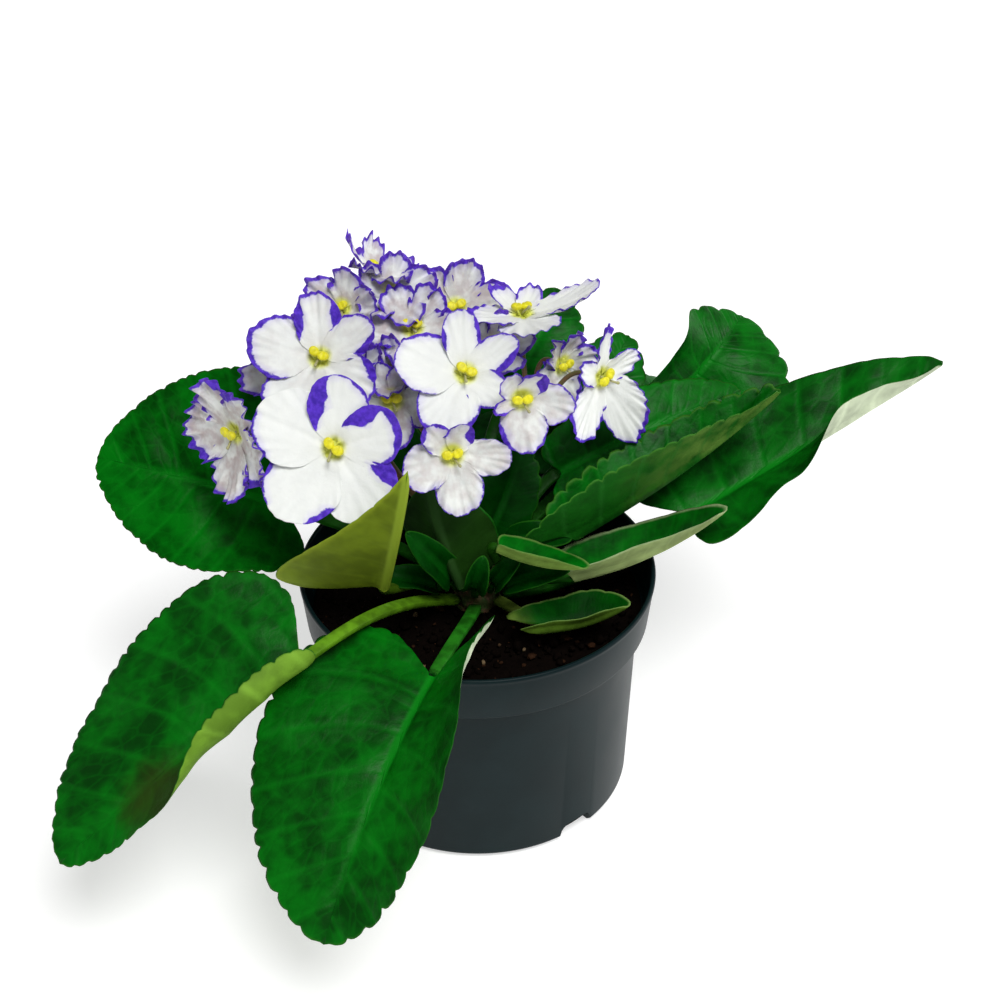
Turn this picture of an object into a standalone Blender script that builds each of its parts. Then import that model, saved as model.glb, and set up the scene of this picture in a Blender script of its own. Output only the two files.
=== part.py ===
"""Potted African violet: a nursery pot, its soil and one flowering plant.

Lengths in the tables are millimetres and angles are degrees. The origin is the
middle of the pot's underside, +Z is up and -Y is the front. An azimuth is 0 at
the front, 90 at +X, 180 at the back; an elevation is 90 straight up.
"""

from math import cos, pi, radians, sin, sqrt

import bpy
from mathutils import Vector

MM = 0.001

# ---------------------------------------------------------------- the pot
POT_SEGMENTS = 40
POT_PROFILE = (  # radius, height: underside, wall, step, rim band, lip, inside
    (45.8, 0.0),
    (47.8, 1.8),
    (50.0, 61.6),
    (53.2, 62.0),
    (54.8, 76.0),
    (55.2, 77.3),
    (54.5, 78.0),
    (53.6, 77.6),
    (51.9, 63.0),
    (48.6, 60.4),
    (46.3, 2.2),
)
POT_FLOOR = 2.2
DRAIN_AZIMUTHS = (40.0, 112.0, 184.0, 256.0, 328.0)
DRAIN_WIDTH, DRAIN_HEIGHT, DRAIN_IN, DRAIN_OUT = 13.0, 6.0, 38.8, 60.0
DRAIN_ARCH = ((1.0, 0.45), (0.72, 0.85), (0.3, 1.0))  # shares of the half width and the height
DRAIN_BELOW = 1.0  # how far the cutter reaches under the pot

SOIL_TOP = 64.0
SOIL_SIDE = ((45.7, 2.6), (48.1, 60.7), (51.2, 63.4))
SOIL_RINGS = (46.0, 38.0, 29.0, 19.0, 9.0)
SOIL_SEGMENTS = 32
SOIL_LUMP, SOIL_CRUMB = 0.8, 0.5
SOIL_CALM = 9.0  # no lumps this near the crown

CROWN = ((6.6, 64.4), (7.0, 66.5), (6.2, 72.0), (5.4, 79.0), (4.0, 84.5))
CROWN_TOP, CROWN_SEGMENTS = 86.5, 14
ROOT_RADIUS = 8.2  # where petioles and flower stalks start, out from the axis

# ---------------------------------------------------------------- the leaves
# One side of a blade from the petiole to the tip: share of the half width,
# share of the length, share of the lobe depth.
OUTLINE = (
    (0.04, 0.010, 0.00),
    (0.24, 0.000, -0.60),
    (0.50, 0.000, -1.00),
    (0.78, 0.030, -0.72),
    (0.95, 0.140, -0.25),
    (1.00, 0.300, 0.00),
    (0.97, 0.460, 0.00),
    (0.87, 0.620, 0.00),
    (0.69, 0.770, 0.00),
    (0.45, 0.890, 0.00),
    (0.21, 0.970, 0.00),
    (0.00, 1.000, 0.00),
)
PETIOLE_RINGS = 4
PETIOLE_RADIUS, PETIOLE_TAPER = 2.1, 0.3
LEAF_HALF_THICK = 0.7
SCALLOP = 0.9  # how far a tooth stands out
RIDGE, RIDGE_TAPER = 2.0, 1.7  # how far the midrib stands out underneath, and how much less at the tip
MIDDLE_CROWDING = 2.0  # rows start closer together on the midrib near the petiole
WAVE_ALONG, WAVE_SIDE, WAVE_LENGTH = 7.0, 2.2, 0.05  # how the ripples of a blade are placed
# One ring of a blade, from the right margin over the top to the left and back underneath:
# side, share of the way out, face (1 upper, -1 under, 0 margin), share of the ridge.
SECTION = (
    (1, 1, 0, 0),
    (1, 2 / 3, 1, 0),
    (1, 1 / 3, 1, 0),
    (-1, 0, 1, 0),
    (-1, 1 / 3, 1, 0),
    (-1, 2 / 3, 1, 0),
    (-1, 1, 0, 0),
    (-1, 2 / 3, -1, 0),
    (-1, 1 / 3, -1, 0.35),
    (-1, 0, -1, 1),
    (1, 1 / 3, -1, 0.35),
    (1, 2 / 3, -1, 0),
)

# root: azimuth and height on the crown; rise: how steeply the petiole leaves.
# face: azimuth and elevation the upper side looks to, at the base and the tip.
# width: half widths left and right of the midrib, seen from above its base.
# fold and curl: along the leaf in four steps, positive raises that half.
# taper: how much narrower the tip is than an oval; a taper_power under 1 narrows it sooner.
LEAVES = {
    "leaf_left": dict(
        root=(-95, 72), rise=45, joint=(-59, 10, 94), tip=(-117, 20, 106), arch=4,
        face=(-10, 50), face_tip=(-10, 45), width=(27, 37), lobes=(0.15, 0.20),
        fold_left=(10, 5, 0, 0), fold_right=(15, 8, 4, 0),
        curl_left=(20, 5, -10, -10), curl_right=(10, 0, -10, -15), teeth=7, wave=1.5,
    ),
    "leaf_front_left": dict(
        root=(-54, 69), rise=24, joint=(-50.5, -57.5, 88), tip=(-119, -93, 44), arch=2,
        face=(-40, 58), face_tip=(-40, 45), width=(17, 41.5), lobes=(0.05, 0.10),
        fold_left=(10, 0, -5, -5), fold_right=(10, 5, 0, 0),
        curl_left=(170, 150, 60, -10), curl_right=(5, 0, -5, -15), taper=0.1, teeth=7, wave=1.2,
    ),
    "leaf_front": dict(
        root=(-6, 68), rise=25, joint=(-13, -57, 82), tip=(-43, -121, 40), arch=8,
        face=(-22, 60), face_tip=(-15, 40), width=(27, 40), lobes=(0.24, 0.12),
        fold_left=(25, 20, 10, 5), fold_right=(5, 0, 0, 0),
        curl_left=(60, 45, 40, 20), curl_right=(0, -5, -15, -20), teeth=8, wave=1.5,
    ),
    "leaf_small_left": dict(
        root=(-72, 77), rise=10, joint=(-28, -20, 86.5), tip=(-19, -43, 144), arch=-2,
        face=(183, 12), face_tip=(183, 10), width=(18, 49), lobes=(0.05, 0.12),
        fold_left=(70, 75, 75, 60), fold_right=(0, 0, 0, 0),
        curl_left=(10, 10, 10, 10), curl_right=(15, 10, 10, 5),
        taper=0.92, taper_power=0.5, teeth=5, wave=0.6,
    ),
    "leaf_small_front": dict(
        root=(-5, 79), rise=50, joint=(-5, -14, 82), tip=(-14, -10, 116), arch=-3,
        face=(175, 20), face_tip=(180, 30), width=(17, 17), lobes=(0.05, 0.05),
        fold_left=(30, 25, 20, 10), fold_right=(30, 25, 20, 10),
        curl_left=(20, 20, 10, 10), curl_right=(20, 20, 10, 10), teeth=5, wave=0.6,
    ),
    "leaf_small_centre": dict(
        root=(20, 84), rise=80, joint=(4, -1, 92), tip=(14, 10, 118), arch=2,
        face=(20, 20), face_tip=(20, 30), width=(11, 10), lobes=(0.1, 0.1),
        fold_left=(20, 15, 10, 5), fold_right=(20, 15, 10, 5),
        curl_left=(10, 10, 5, 5), curl_right=(10, 10, 5, 5), teeth=4, wave=0.6,
    ),
    "leaf_small_right": dict(
        root=(70, 76), rise=15, joint=(30, -13, 84), tip=(76, 0, 100), arch=-5,
        face=(0, 80), face_tip=(0, 80), width=(13, 11), lobes=(0.08, 0.1),
        fold_left=(5, 5, 5, 5), fold_right=(60, 62, 60, 45),
        curl_left=(10, 10, 10, 5), curl_right=(15, 15, 10, 10), taper=0.15, teeth=6, wave=0.6,
    ),
    "leaf_small_inner": dict(
        root=(48, 79), rise=0, joint=(6.5, -22.5, 101.5), tip=(33, -28.5, 99.5), arch=-3,
        face=(0, 80), face_tip=(0, 80), width=(7, 6), lobes=(0.05, 0.05),
        fold_left=(5, 5, 5, 5), fold_right=(60, 62, 60, 45),
        curl_left=(10, 10, 10, 5), curl_right=(15, 15, 10, 10), teeth=5, wave=0.4,
    ),
    "leaf_small_front_right": dict(
        root=(48, 69), rise=5, joint=(26, -25, 74), tip=(46, -21, 80), arch=-2,
        face=(0, 80), face_tip=(0, 80), width=(10, 6), lobes=(0.8, 0.7),
        fold_left=(15, 15, 15, 10), fold_right=(60, 60, 60, 50),
        curl_left=(10, 10, 10, 5), curl_right=(15, 15, 10, 10), teeth=5, wave=0.4,
    ),
    "leaf_right": dict(
        root=(102, 82), rise=45, joint=(31, -3, 93), tip=(93, 25, 126), arch=-4,
        face=(-10, 80), face_tip=(0, 75), width=(16, 24), lobes=(0.10, 0.25),
        fold_left=(40, 40, 35, 30), fold_right=(75, 75, 75, 60),
        curl_left=(10, 5, 0, 0), curl_right=(10, 5, 5, 5), taper=0.15, teeth=7, wave=1.2,
    ),
    "leaf_right_upper": dict(
        root=(122, 77), rise=55, joint=(26, 21, 98.5), tip=(84, 46, 112), arch=4,
        face=(0, 55), face_tip=(0, 50), width=(14, 12), lobes=(0.04, 0.08),
        fold_left=(10, 10, 5, 0), fold_right=(0, 0, 0, 0),
        curl_left=(10, 5, 0, 0), curl_right=(5, 0, -10, -15), teeth=6, wave=0.8,
    ),
    "leaf_far_right": dict(
        root=(80, 69), rise=5, joint=(66, 14, 87), tip=(146, 42, 125), arch=-1,
        face=(0, 75), face_tip=(0, 70), width=(27, 19), lobes=(0.12, 0.02),
        fold_left=(8, 8, 4, 0), fold_right=(0, 30, 80, 55),
        curl_left=(5, 5, 0, 0), curl_right=(5, 10, 20, 20), taper=0.25, teeth=7, wave=1.0,
    ),
    "leaf_back_right": dict(
        root=(136, 71), rise=50, joint=(64, 56, 103), tip=(87, 79, 120), arch=8,
        face=(10, 35), face_tip=(15, 60), width=(17, 28), lobes=(0.15, 0.15),
        fold_left=(20, 20, 10, 5), fold_right=(10, 10, 5, 0),
        curl_left=(60, 50, 20, 5), curl_right=(5, 0, -5, -10), teeth=6, wave=1.5,
    ),
    "leaf_back_small": dict(
        root=(154, 75), rise=50, joint=(31, 38, 98), tip=(49, 62, 123), arch=4,
        face=(0, 45), face_tip=(0, 40), width=(14, 14), lobes=(0.05, 0.05),
        fold_left=(15, 10, 5, 0), fold_right=(15, 10, 5, 0),
        curl_left=(10, 5, 0, 0), curl_right=(10, 5, 0, 0), teeth=5, wave=1.0,
    ),
    "leaf_back": dict(
        root=(173, 79), rise=60, joint=(8, 40, 110), tip=(28, 67, 137), arch=4,
        face=(0, 45), face_tip=(0, 40), width=(15, 17), lobes=(0.12, 0.12),
        fold_left=(15, 10, 5, 0), fold_right=(15, 10, 5, 0),
        curl_left=(10, 5, 0, 0), curl_right=(10, 5, 0, 0), teeth=6, wave=1.2,
    ),
    "leaf_rear_left": dict(
        root=(-135, 70), rise=45, joint=(-36, 30, 88), tip=(-68, 82, 92), arch=6,
        face=(-40, 80), face_tip=(-60, 75), width=(26, 26), lobes=(0.13, 0.13),
        fold_left=(10, 8, 4, 0), fold_right=(10, 8, 4, 0),
        curl_left=(10, 0, -10, -15), curl_right=(10, 0, -10, -15), teeth=7, wave=1.5,
    ),
    "leaf_rear": dict(
        root=(-172, 70), rise=45, joint=(-6, 48, 84), tip=(-10, 114, 80), arch=7,
        face=(0, 80), face_tip=(0, 80), width=(26, 26), lobes=(0.12, 0.12),
        fold_left=(10, 8, 4, 0), fold_right=(10, 8, 4, 0),
        curl_left=(10, 0, -10, -15), curl_right=(10, 0, -10, -15), teeth=7, wave=1.5,
    ),
    "leaf_rear_right": dict(
        root=(163, 66), rise=30, joint=(34, 44, 82), tip=(66, 98, 82), arch=6,
        face=(30, 80), face_tip=(40, 75), width=(24, 24), lobes=(0.12, 0.12),
        fold_left=(10, 8, 4, 0), fold_right=(10, 8, 4, 0),
        curl_left=(10, 0, -10, -15), curl_right=(10, 0, -10, -15), teeth=7, wave=1.5,
    ),
}

# ---------------------------------------------------------------- the flowers
# Petals: direction, distance of the middle, radius. Two smaller ones stand above.
PETALS = (
    (57.0, 10.4, 8.2),
    (123.0, 10.4, 8.2),
    (194.0, 11.8, 9.8),
    (270.0, 12.2, 10.0),
    (346.0, 11.8, 9.8),
)
COROLLA_SEGMENTS = 25
COROLLA_RINGS = (0.6,)
THROAT_RADIUS, THROAT_DEPTH, THROAT_LIP, THROAT_SHARE = 2.2, 1.6, 0.3, 0.1
TUBE_WALL, TUBE_END = 0.5, 0.9  # how much thicker the flower is behind its throat
PETAL_THICK = 0.6
PETAL_RIPPLE, RIPPLES, RIPPLE_START = 0.9, 10, 50.0
BEND_SPREAD = 2.2  # how soon a petal's bend fades to its sides
LEAST_REACH = 4.0
ANTHERS = ((-2.9, 0.9), (-1.6, 1.5), (0.0, 0.9), (1.6, 1.5), (2.9, 0.9))  # along, radius
ANTHER_END, ANTHER_UP, ANTHER_OUT, ANTHER_SIDES = 3.4, 0.4, 1.8, 6
ANTHER_SIZE, ANTHER_GROWTH = 0.75, 0.25  # their size hardly follows the flower's


def flower(centre, face, size, spin=0, cup=3, bend=(0, 0, 0, 0, 0), grow=(1, 1, 1, 1, 1)):
    """face: azimuth and elevation it looks to; size: against 44 mm across; spin: turn of the
    petals, anticlockwise seen from in front; cup: rise towards the margin; bend: how far each
    petal's end comes forwards; grow: each petal's own size."""
    return dict(centre=centre, face=face, size=size, spin=spin, cup=cup, bend=bend, grow=grow)


FLOWERS = {
    "01": flower((-41, -20, 136), (-5, 35), 1.13, spin=-38, cup=2, bend=(3, 3, 0, 0, 0)),
    "02": flower((-46, 10, 148), (-15, 50), 1.02, spin=-20, bend=(2, 2, 0, 0, 0)),
    "03": flower((-71, -6, 132), (-50, 5), 0.95, spin=5, cup=4),
    "04": flower((-3, 4, 146), (5, 50), 0.98, spin=-30, bend=(2, 2, 0, 0, 0), grow=(0.95, 1, 1, 1, 0.72)),
    "05": flower(
        (14, 30, 151), (-168, 88), 0.86, spin=179, bend=(0, 0, 0, 0, 1),
        grow=(0.7, 0.8, 0.95, 1, 1.25),
    ),
    "06": flower((13.2, -6, 143.2), (10, 15), 0.71, bend=(4, 4, 0, 0, 0), grow=(0.8, 0.8, 0.6, 1, 1)),
    "07": flower((38, 15, 137), (47, 12), 1.02, spin=24, cup=2, grow=(0.9, 0.7, 0.95, 1.15, 0.65)),
    "08": flower((-7, -15, 130), (5, 25), 0.8, spin=8, bend=(2, 2, 0, 0, 0), grow=(0.7, 0.8, 0.9, 1, 1)),
    "09": flower((-19, 28, 147), (-5, 60), 0.74, cup=5),
    "10": flower((-6, 48, 142), (10, 45), 0.8, spin=10, cup=5),
    "11": flower((-30.5, 45, 157), (115, 70), 0.62, cup=4),
    "12": flower((-25, 9, 133.5), (0, 30), 0.67, cup=4),
    "13": flower((-52, 50, 128), (-140, 25), 0.85),
    "14": flower((8, 70, 122), (165, 30), 0.85),
    "15": flower((-40.5, 31.5, 151.5), (-30, 40), 0.65, spin=30, cup=5),
    "16": flower((-58, 19, 138), (-35, 30), 0.62, spin=20, cup=4),
    "17": flower((26.5, 31, 131.5), (45, 5), 0.62),
}

# Peduncles: root (azimuth, height), how steeply it leaves, fork, the flowers it carries.
STALKS = {
    "flower_stalk_left": dict(
        root=(-118, 82), rise=55, fork=(-28, 10, 113), carries=("01", "02", "03", "16"),
    ),
    "flower_stalk_front": dict(
        root=(-150, 84), rise=75, fork=(-9, 6, 113), carries=("04", "08", "12"),
    ),
    "flower_stalk_right": dict(
        root=(130, 83), rise=70, fork=(16, 16, 114), carries=("05", "06", "07", "17"),
    ),
    "flower_stalk_back": dict(
        root=(-160, 79.5), rise=70, fork=(-16, 36, 118),
        carries=("09", "10", "11", "13", "14", "15"),
    ),
}
STALK_STEPS, STALK_SIDES, STALK_RADIUS, STALK_TAPER = 6, 8, 1.3, 0.1
FORK_SWELLING, FORK_TIP = 0.35, 1.2
STALK_SINK = 1.0  # how much nearer to the axis than the petioles a stalk starts
PEDICEL_STEPS, PEDICEL_SIDES, PEDICEL_RADIUS = 3, 10, 0.8
PEDICEL_LEAN = 0.6  # how much a pedicel first follows its stalk
CALYX = ((0.9, 8.0), (1.8, 5.0))  # radius, distance behind the flower
CALYX_FACE = 3.2
SEPALS = ((1.5, 3.5), (3.8, 2.7))  # between and at the sepals: radius, distance behind the flower

# ---------------------------------------------------------------- the materials
# Base colour (linear), roughness. Nothing here is metal.
FINISHES = {
    "pot plastic": ((0.012, 0.022, 0.030), 0.42),
    "potting soil": ((0.020, 0.012, 0.008), 0.95),
    "crown": ((0.16, 0.09, 0.045), 0.75),
    "leaf": ((0.010, 0.105, 0.014), 0.45),
    "flower stalk": ((0.22, 0.17, 0.07), 0.60),
    "petal": ((0.80, 0.78, 0.84), 0.60),
    "anther": ((0.85, 0.70, 0.03), 0.55),
}
SMOOTH_BELOW = 40.0


# ---------------------------------------------------------------- mesh helpers
def clear_scene():
    for obj in list(bpy.data.objects):
        bpy.data.objects.remove(obj, do_unlink=True)


def finish(name):
    """The named material, made once."""
    material = bpy.data.materials.get(name)
    if material is None:
        colour, roughness = FINISHES[name]
        material = bpy.data.materials.new(name)
        material.use_nodes = True
        shader = material.node_tree.nodes["Principled BSDF"]
        shader.inputs["Base Color"].default_value = (*colour, 1.0)
        shader.inputs["Roughness"].default_value = roughness
        shader.inputs["Metallic"].default_value = 0.0
    return material


def add_object(name, points, faces, material):
    mesh = bpy.data.meshes.new(name)
    mesh.from_pydata([tuple(c * MM for c in p) for p in points], [], faces)
    mesh.materials.append(finish(material))
    mesh.shade_smooth()
    mesh.set_sharp_from_angle(angle=radians(SMOOTH_BELOW))
    mesh.update()
    obj = bpy.data.objects.new(name, mesh)
    bpy.context.scene.collection.objects.link(obj)
    return obj


def loft(rings, start, end, crossed=lambda i, j: False):
    """A closed skin over rings of equally many points, with a point at either end.

    Each ring turns from right to up, seen along the way that the rings run. A patch that is
    crossed is split along its other diagonal, so both faces of a thin sheet bend alike.
    """
    count = len(rings[0])
    points = [start] + [p for ring in rings for p in ring] + [end]
    faces = []
    for j in range(count):
        k = (j + 1) % count
        faces.append((0, 1 + j, 1 + k))
        for i in range(len(rings) - 1):
            a, b = 1 + i * count, 1 + (i + 1) * count
            if crossed(i, j):
                faces += [(a + j, b + j, a + k), (b + j, b + k, a + k)]
            else:
                faces += [(a + j, b + j, b + k), (a + j, b + k, a + k)]
        last = 1 + (len(rings) - 1) * count
        faces.append((len(points) - 1, last + k, last + j))
    return points, faces


def ring_at(centre, across, up, radius, count):
    return [
        centre + radius * (cos(2 * pi * j / count) * across + sin(2 * pi * j / count) * up)
        for j in range(count)
    ]


def joined(base, others):
    """The union of base with the other objects, which are used up."""
    for number, other in enumerate(others):
        boolean = base.modifiers.new(f"join {number}", "BOOLEAN")
        boolean.operation = "UNION"
        boolean.solver = "EXACT"
        boolean.object = other
    bake(base)
    for other in others:
        bpy.data.objects.remove(other, do_unlink=True)
    return base


def bake(obj):
    bpy.context.view_layer.update()
    graph = bpy.context.evaluated_depsgraph_get()
    mesh = bpy.data.meshes.new_from_object(obj.evaluated_get(graph))
    obj.modifiers.clear()
    obj.data = mesh


def direction(azimuth, elevation):
    a, e = radians(azimuth), radians(elevation)
    return Vector((sin(a) * cos(e), -cos(a) * cos(e), sin(e)))


def along_table(table, share):
    """A smooth value from evenly spaced steps."""
    place = min(max(share, 0.0), 1.0) * (len(table) - 1)
    i = min(int(place), len(table) - 2)
    f = place - i
    f = f * f * (3 - 2 * f)
    return table[i] * (1 - f) + table[i + 1] * f


def cubic(p0, p1, p2, p3, t):
    s = 1 - t
    point = s**3 * p0 + 3 * s * s * t * p1 + 3 * s * t * t * p2 + t**3 * p3
    slope = 3 * s * s * (p1 - p0) + 6 * s * t * (p2 - p1) + 3 * t * t * (p3 - p2)
    return point, slope.normalized()


# ---------------------------------------------------------------- leaves
class Blade:
    """The bent surface of one leaf blade: flat (across, along) to a point in space."""

    def __init__(self, leaf):
        self.leaf = leaf
        self.start = Vector(leaf["joint"])
        self.end = Vector(leaf["tip"])
        chord = self.end - self.start
        self.length = chord.length
        self.face_a = direction(*leaf["face"])
        self.face_b = direction(*leaf["face_tip"])
        lift = self.face_a - self.face_a.dot(chord.normalized()) * chord.normalized()
        self.middle = (self.start + self.end) / 2 + 2 * leaf["arch"] * lift.normalized()

    def spine(self, share):
        """Point, forward, right and up on the midrib."""
        t = max(share, 0.0)
        s = 1 - t
        point = s * s * self.start + 2 * s * t * self.middle + t * t * self.end
        forward = (s * (self.middle - self.start) + t * (self.end - self.middle)).normalized()
        if share < 0:
            point = point + share * self.length * forward
        face = (self.face_a * s + self.face_b * t).normalized()
        up = (face - face.dot(forward) * forward).normalized()
        return point, forward, forward.cross(up), up

    def at(self, across, along, lift=0.0):
        """The point across (right positive) and along from the joint, raised off the sheet by lift."""
        share = along / self.length
        point, _, right, up = self.spine(share)
        side = 1 if across >= 0 else -1
        half = "right" if side > 0 else "left"
        width = self.leaf["width"][1 if side > 0 else 0]
        fold = radians(along_table(self.leaf["fold_" + half], share))
        curl = radians(along_table(self.leaf["curl_" + half], share)) / width
        d = abs(across)
        if abs(curl) < 1e-5:
            out, high = d * cos(fold), d * sin(fold)
        else:
            out = (sin(fold + curl * d) - sin(fold)) / curl
            high = (cos(fold) - cos(fold + curl * d)) / curl
        turn = fold + curl * d
        phase = WAVE_ALONG * share + WAVE_SIDE * side + WAVE_LENGTH * self.length
        lift = lift + self.leaf["wave"] * (d / width) ** 2 * sin(phase)
        return (
            point
            + right * (side * (out - lift * sin(turn)))
            + up * (high + lift * cos(turn))
        )


def outline(leaf, share, length, right):
    """Flat margin point of one half: across and along."""
    width, lobe = leaf["width"][right], leaf["lobes"][right]
    place = min(max(share, 0.0), 1.0) * (len(OUTLINE) - 1)
    i = min(int(place), len(OUTLINE) - 2)
    f = place - i
    keys = [OUTLINE[min(max(i + k, 0), len(OUTLINE) - 1)] for k in (-1, 0, 1, 2)]
    values = []
    for a, b, c, d in zip(*keys):
        values.append(
            b + 0.5 * f * (c - a + f * (2 * a - 5 * b + 4 * c - d + f * (3 * (b - c) + d - a)))
        )
    narrow = 1 - leaf.get("taper", 0.0) * max(values[1], 0.0) ** leaf.get("taper_power", 1.0)
    return (
        max(values[0], 0.0) * width * narrow,
        values[1] * length + values[2] * lobe * length,
    )


def leaf_rows(teeth):
    return 2 * teeth + 1


def make_leaf(name, leaf):
    blade = Blade(leaf)
    rings = []
    azimuth, height = leaf["root"]
    root = direction(azimuth, 0) * ROOT_RADIUS
    root.z = height
    first = direction(azimuth, leaf["rise"])
    joint, forward, right, up = blade.spine(0.0)
    reach = (joint - root).length / 3
    across = first.cross(Vector((0, 0, 1))).normalized()
    for i in range(PETIOLE_RINGS):
        t = i / PETIOLE_RINGS
        point, slope = cubic(root, root + first * reach, joint - forward * reach, joint, t)
        wish = across * (1 - t) + right * t
        wish = (wish - wish.dot(slope) * slope).normalized()
        radius = PETIOLE_RADIUS - PETIOLE_TAPER * t
        rings.append(ring_at(point, wish, wish.cross(slope), radius, len(SECTION)))
        if i == 0:
            start = point
    rows = leaf_rows(leaf["teeth"])
    for i in range(rows):
        share = i / rows
        middle = share**MIDDLE_CROWDING * blade.length
        ridge = RIDGE - RIDGE_TAPER * share
        ring = []
        for side, out, over, rib in SECTION:
            x, y = outline(leaf, share, blade.length, 1 if side > 0 else 0)
            x += SCALLOP * (i % 2)
            lift = over * LEAF_HALF_THICK * sqrt(1 - out) - rib * ridge
            ring.append(blade.at(side * x * out, middle + (y - middle) * out, lift))
        rings.append(ring)
    skin = loft(rings, start, Vector(leaf["tip"]), lambda i, j: j >= len(SECTION) // 2)
    return add_object(name, *skin, "leaf")


# ---------------------------------------------------------------- flowers
class Face:
    """A flower's own axes: x right and y up as seen from in front of it, z towards the viewer."""

    def __init__(self, flower):
        self.centre = Vector(flower["centre"])
        self.out = direction(*flower["face"])
        upright = Vector((0, 0, 1))
        up = (upright - upright.dot(self.out) * self.out).normalized()
        right = up.cross(self.out)
        a = radians(flower["spin"])
        self.right = cos(a) * right + sin(a) * up
        self.up = -sin(a) * right + cos(a) * up

    def at(self, x, y, z):
        return self.centre + x * self.right + y * self.up + z * self.out


def reach(flower, angle):
    """How far the petals reach in this direction, and the petal that does."""
    best = (LEAST_REACH, 0)
    for k, (middle, distance, radius) in enumerate(PETALS):
        distance, radius = distance * flower["grow"][k], radius * flower["grow"][k]
        turn = radians(angle - middle)
        inside = radius**2 - (distance * sin(turn)) ** 2
        if inside > 0 and cos(turn) > 0:
            best = max(best, (distance * cos(turn) + sqrt(inside), k))
    return best


def petal_height(flower, angle, petal, fraction):
    rise = flower["cup"] * fraction**2
    off = (angle - PETALS[petal][0] + 180) % 360 - 180
    bend = flower["bend"][petal] * fraction**2 * max(cos(radians(BEND_SPREAD * off)), 0.0)
    ripple = PETAL_RIPPLE * fraction**3 * sin(radians(RIPPLES * angle + RIPPLE_START))
    return rise + bend + ripple


def make_corolla(name, flower):
    face, size = Face(flower), flower["size"]
    top, bottom = [], []
    for ring in range(len(COROLLA_RINGS) + 1):
        above, below = [], []
        for j in range(COROLLA_SEGMENTS):
            angle = 360 * j / COROLLA_SEGMENTS
            far, petal = reach(flower, angle)
            if ring == 0:
                fraction, radius = THROAT_SHARE, THROAT_RADIUS * size
            else:
                fraction = COROLLA_RINGS[ring - 1]
                radius = far * fraction * size
            height = petal_height(flower, angle, petal, fraction)
            x, y = radius * cos(radians(angle)), radius * sin(radians(angle))
            above.append(face.at(x, y, height))
            below.append(face.at(x, y, height - PETAL_THICK - (TUBE_WALL if ring == 0 else 0)))
        top.append(above)
        bottom.append(below)
    margin = []
    for j in range(COROLLA_SEGMENTS):
        angle = 360 * j / COROLLA_SEGMENTS
        far, petal = reach(flower, angle)
        height = petal_height(flower, angle, petal, 1.0) - PETAL_THICK / 2
        x, y = far * size * cos(radians(angle)), far * size * sin(radians(angle))
        margin.append(face.at(x, y, height))
    rings = top + [margin] + bottom[::-1]
    front, back = face.at(0, 0, THROAT_LIP - THROAT_DEPTH), face.at(0, 0, -THROAT_DEPTH - TUBE_END)
    return add_object(name, *loft(rings, front, back, lambda i, j: i >= len(top)), "petal")


def make_stamens(name, flower):
    face, size = Face(flower), ANTHER_SIZE + ANTHER_GROWTH * flower["size"]

    def on_bar(along):
        return face.at(along * size, ANTHER_UP * size, ANTHER_OUT * size)

    rings = [
        ring_at(on_bar(along), -face.up, face.out, radius * size, ANTHER_SIDES)
        for along, radius in ANTHERS
    ]
    return add_object(name, *loft(rings, on_bar(-ANTHER_END), on_bar(ANTHER_END)), "anther")


def make_stalk(name, stalk):
    azimuth, height = stalk["root"]
    root = direction(azimuth, 0) * (ROOT_RADIUS - STALK_SINK)
    root.z = height
    fork = Vector(stalk["fork"])
    first = direction(azimuth, stalk["rise"])
    reach_out = (fork - root).length / 3
    rings = []
    spread = Vector((0, 0, 0))
    for key in stalk["carries"]:
        spread += Vector(FLOWERS[key]["centre"]) - fork
    last = (spread.normalized() + Vector((0, 0, 1))).normalized()
    across = first.cross(Vector((0.3, 1, 0.2))).normalized()
    for i in range(STALK_STEPS + 1):
        t = i / STALK_STEPS
        point, slope = cubic(root, root + first * reach_out, fork - last * reach_out, fork, t)
        across = (across - across.dot(slope) * slope).normalized()
        radius = STALK_RADIUS - STALK_TAPER * t + (FORK_SWELLING if i == STALK_STEPS else 0)
        rings.append(ring_at(point, across, across.cross(slope), radius, STALK_SIDES))
    base = add_object(name, *loft(rings, root, fork + last * FORK_TIP), "flower stalk")
    pedicels = []
    for key in stalk["carries"]:
        face = Face(FLOWERS[key])
        size = FLOWERS[key]["size"]
        back = face.at(0, 0, -CALYX[0][1] * size)
        length = (back - fork).length
        way = (back - fork).normalized()
        rings = []
        across = None
        off = fork + (way + PEDICEL_LEAN * last).normalized() * length / 3
        for i in range(PEDICEL_STEPS):
            point, slope = cubic(fork, off, back - face.out * length / 3, back, i / PEDICEL_STEPS)
            wish = face.right if across is None else across
            across = (wish - wish.dot(slope) * slope).normalized()
            rings.append(ring_at(point, across, across.cross(slope), PEDICEL_RADIUS, PEDICEL_SIDES))
        down = face.right.cross(face.out)
        for radius, behind in CALYX:
            middle = face.at(0, 0, -behind * size)
            rings.append(ring_at(middle, face.right, down, radius, PEDICEL_SIDES))
        star = []
        for j in range(PEDICEL_SIDES):
            far, behind = SEPALS[j % 2]
            turn = 2 * pi * j / PEDICEL_SIDES
            star.append(face.at(far * cos(turn), -far * sin(turn), -behind))
        rings.append(star)
        skin = loft(rings, fork, face.at(0, 0, -CALYX_FACE))
        pedicels.append(add_object("pedicel " + key, *skin, "flower stalk"))
    return joined(base, pedicels)


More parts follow.
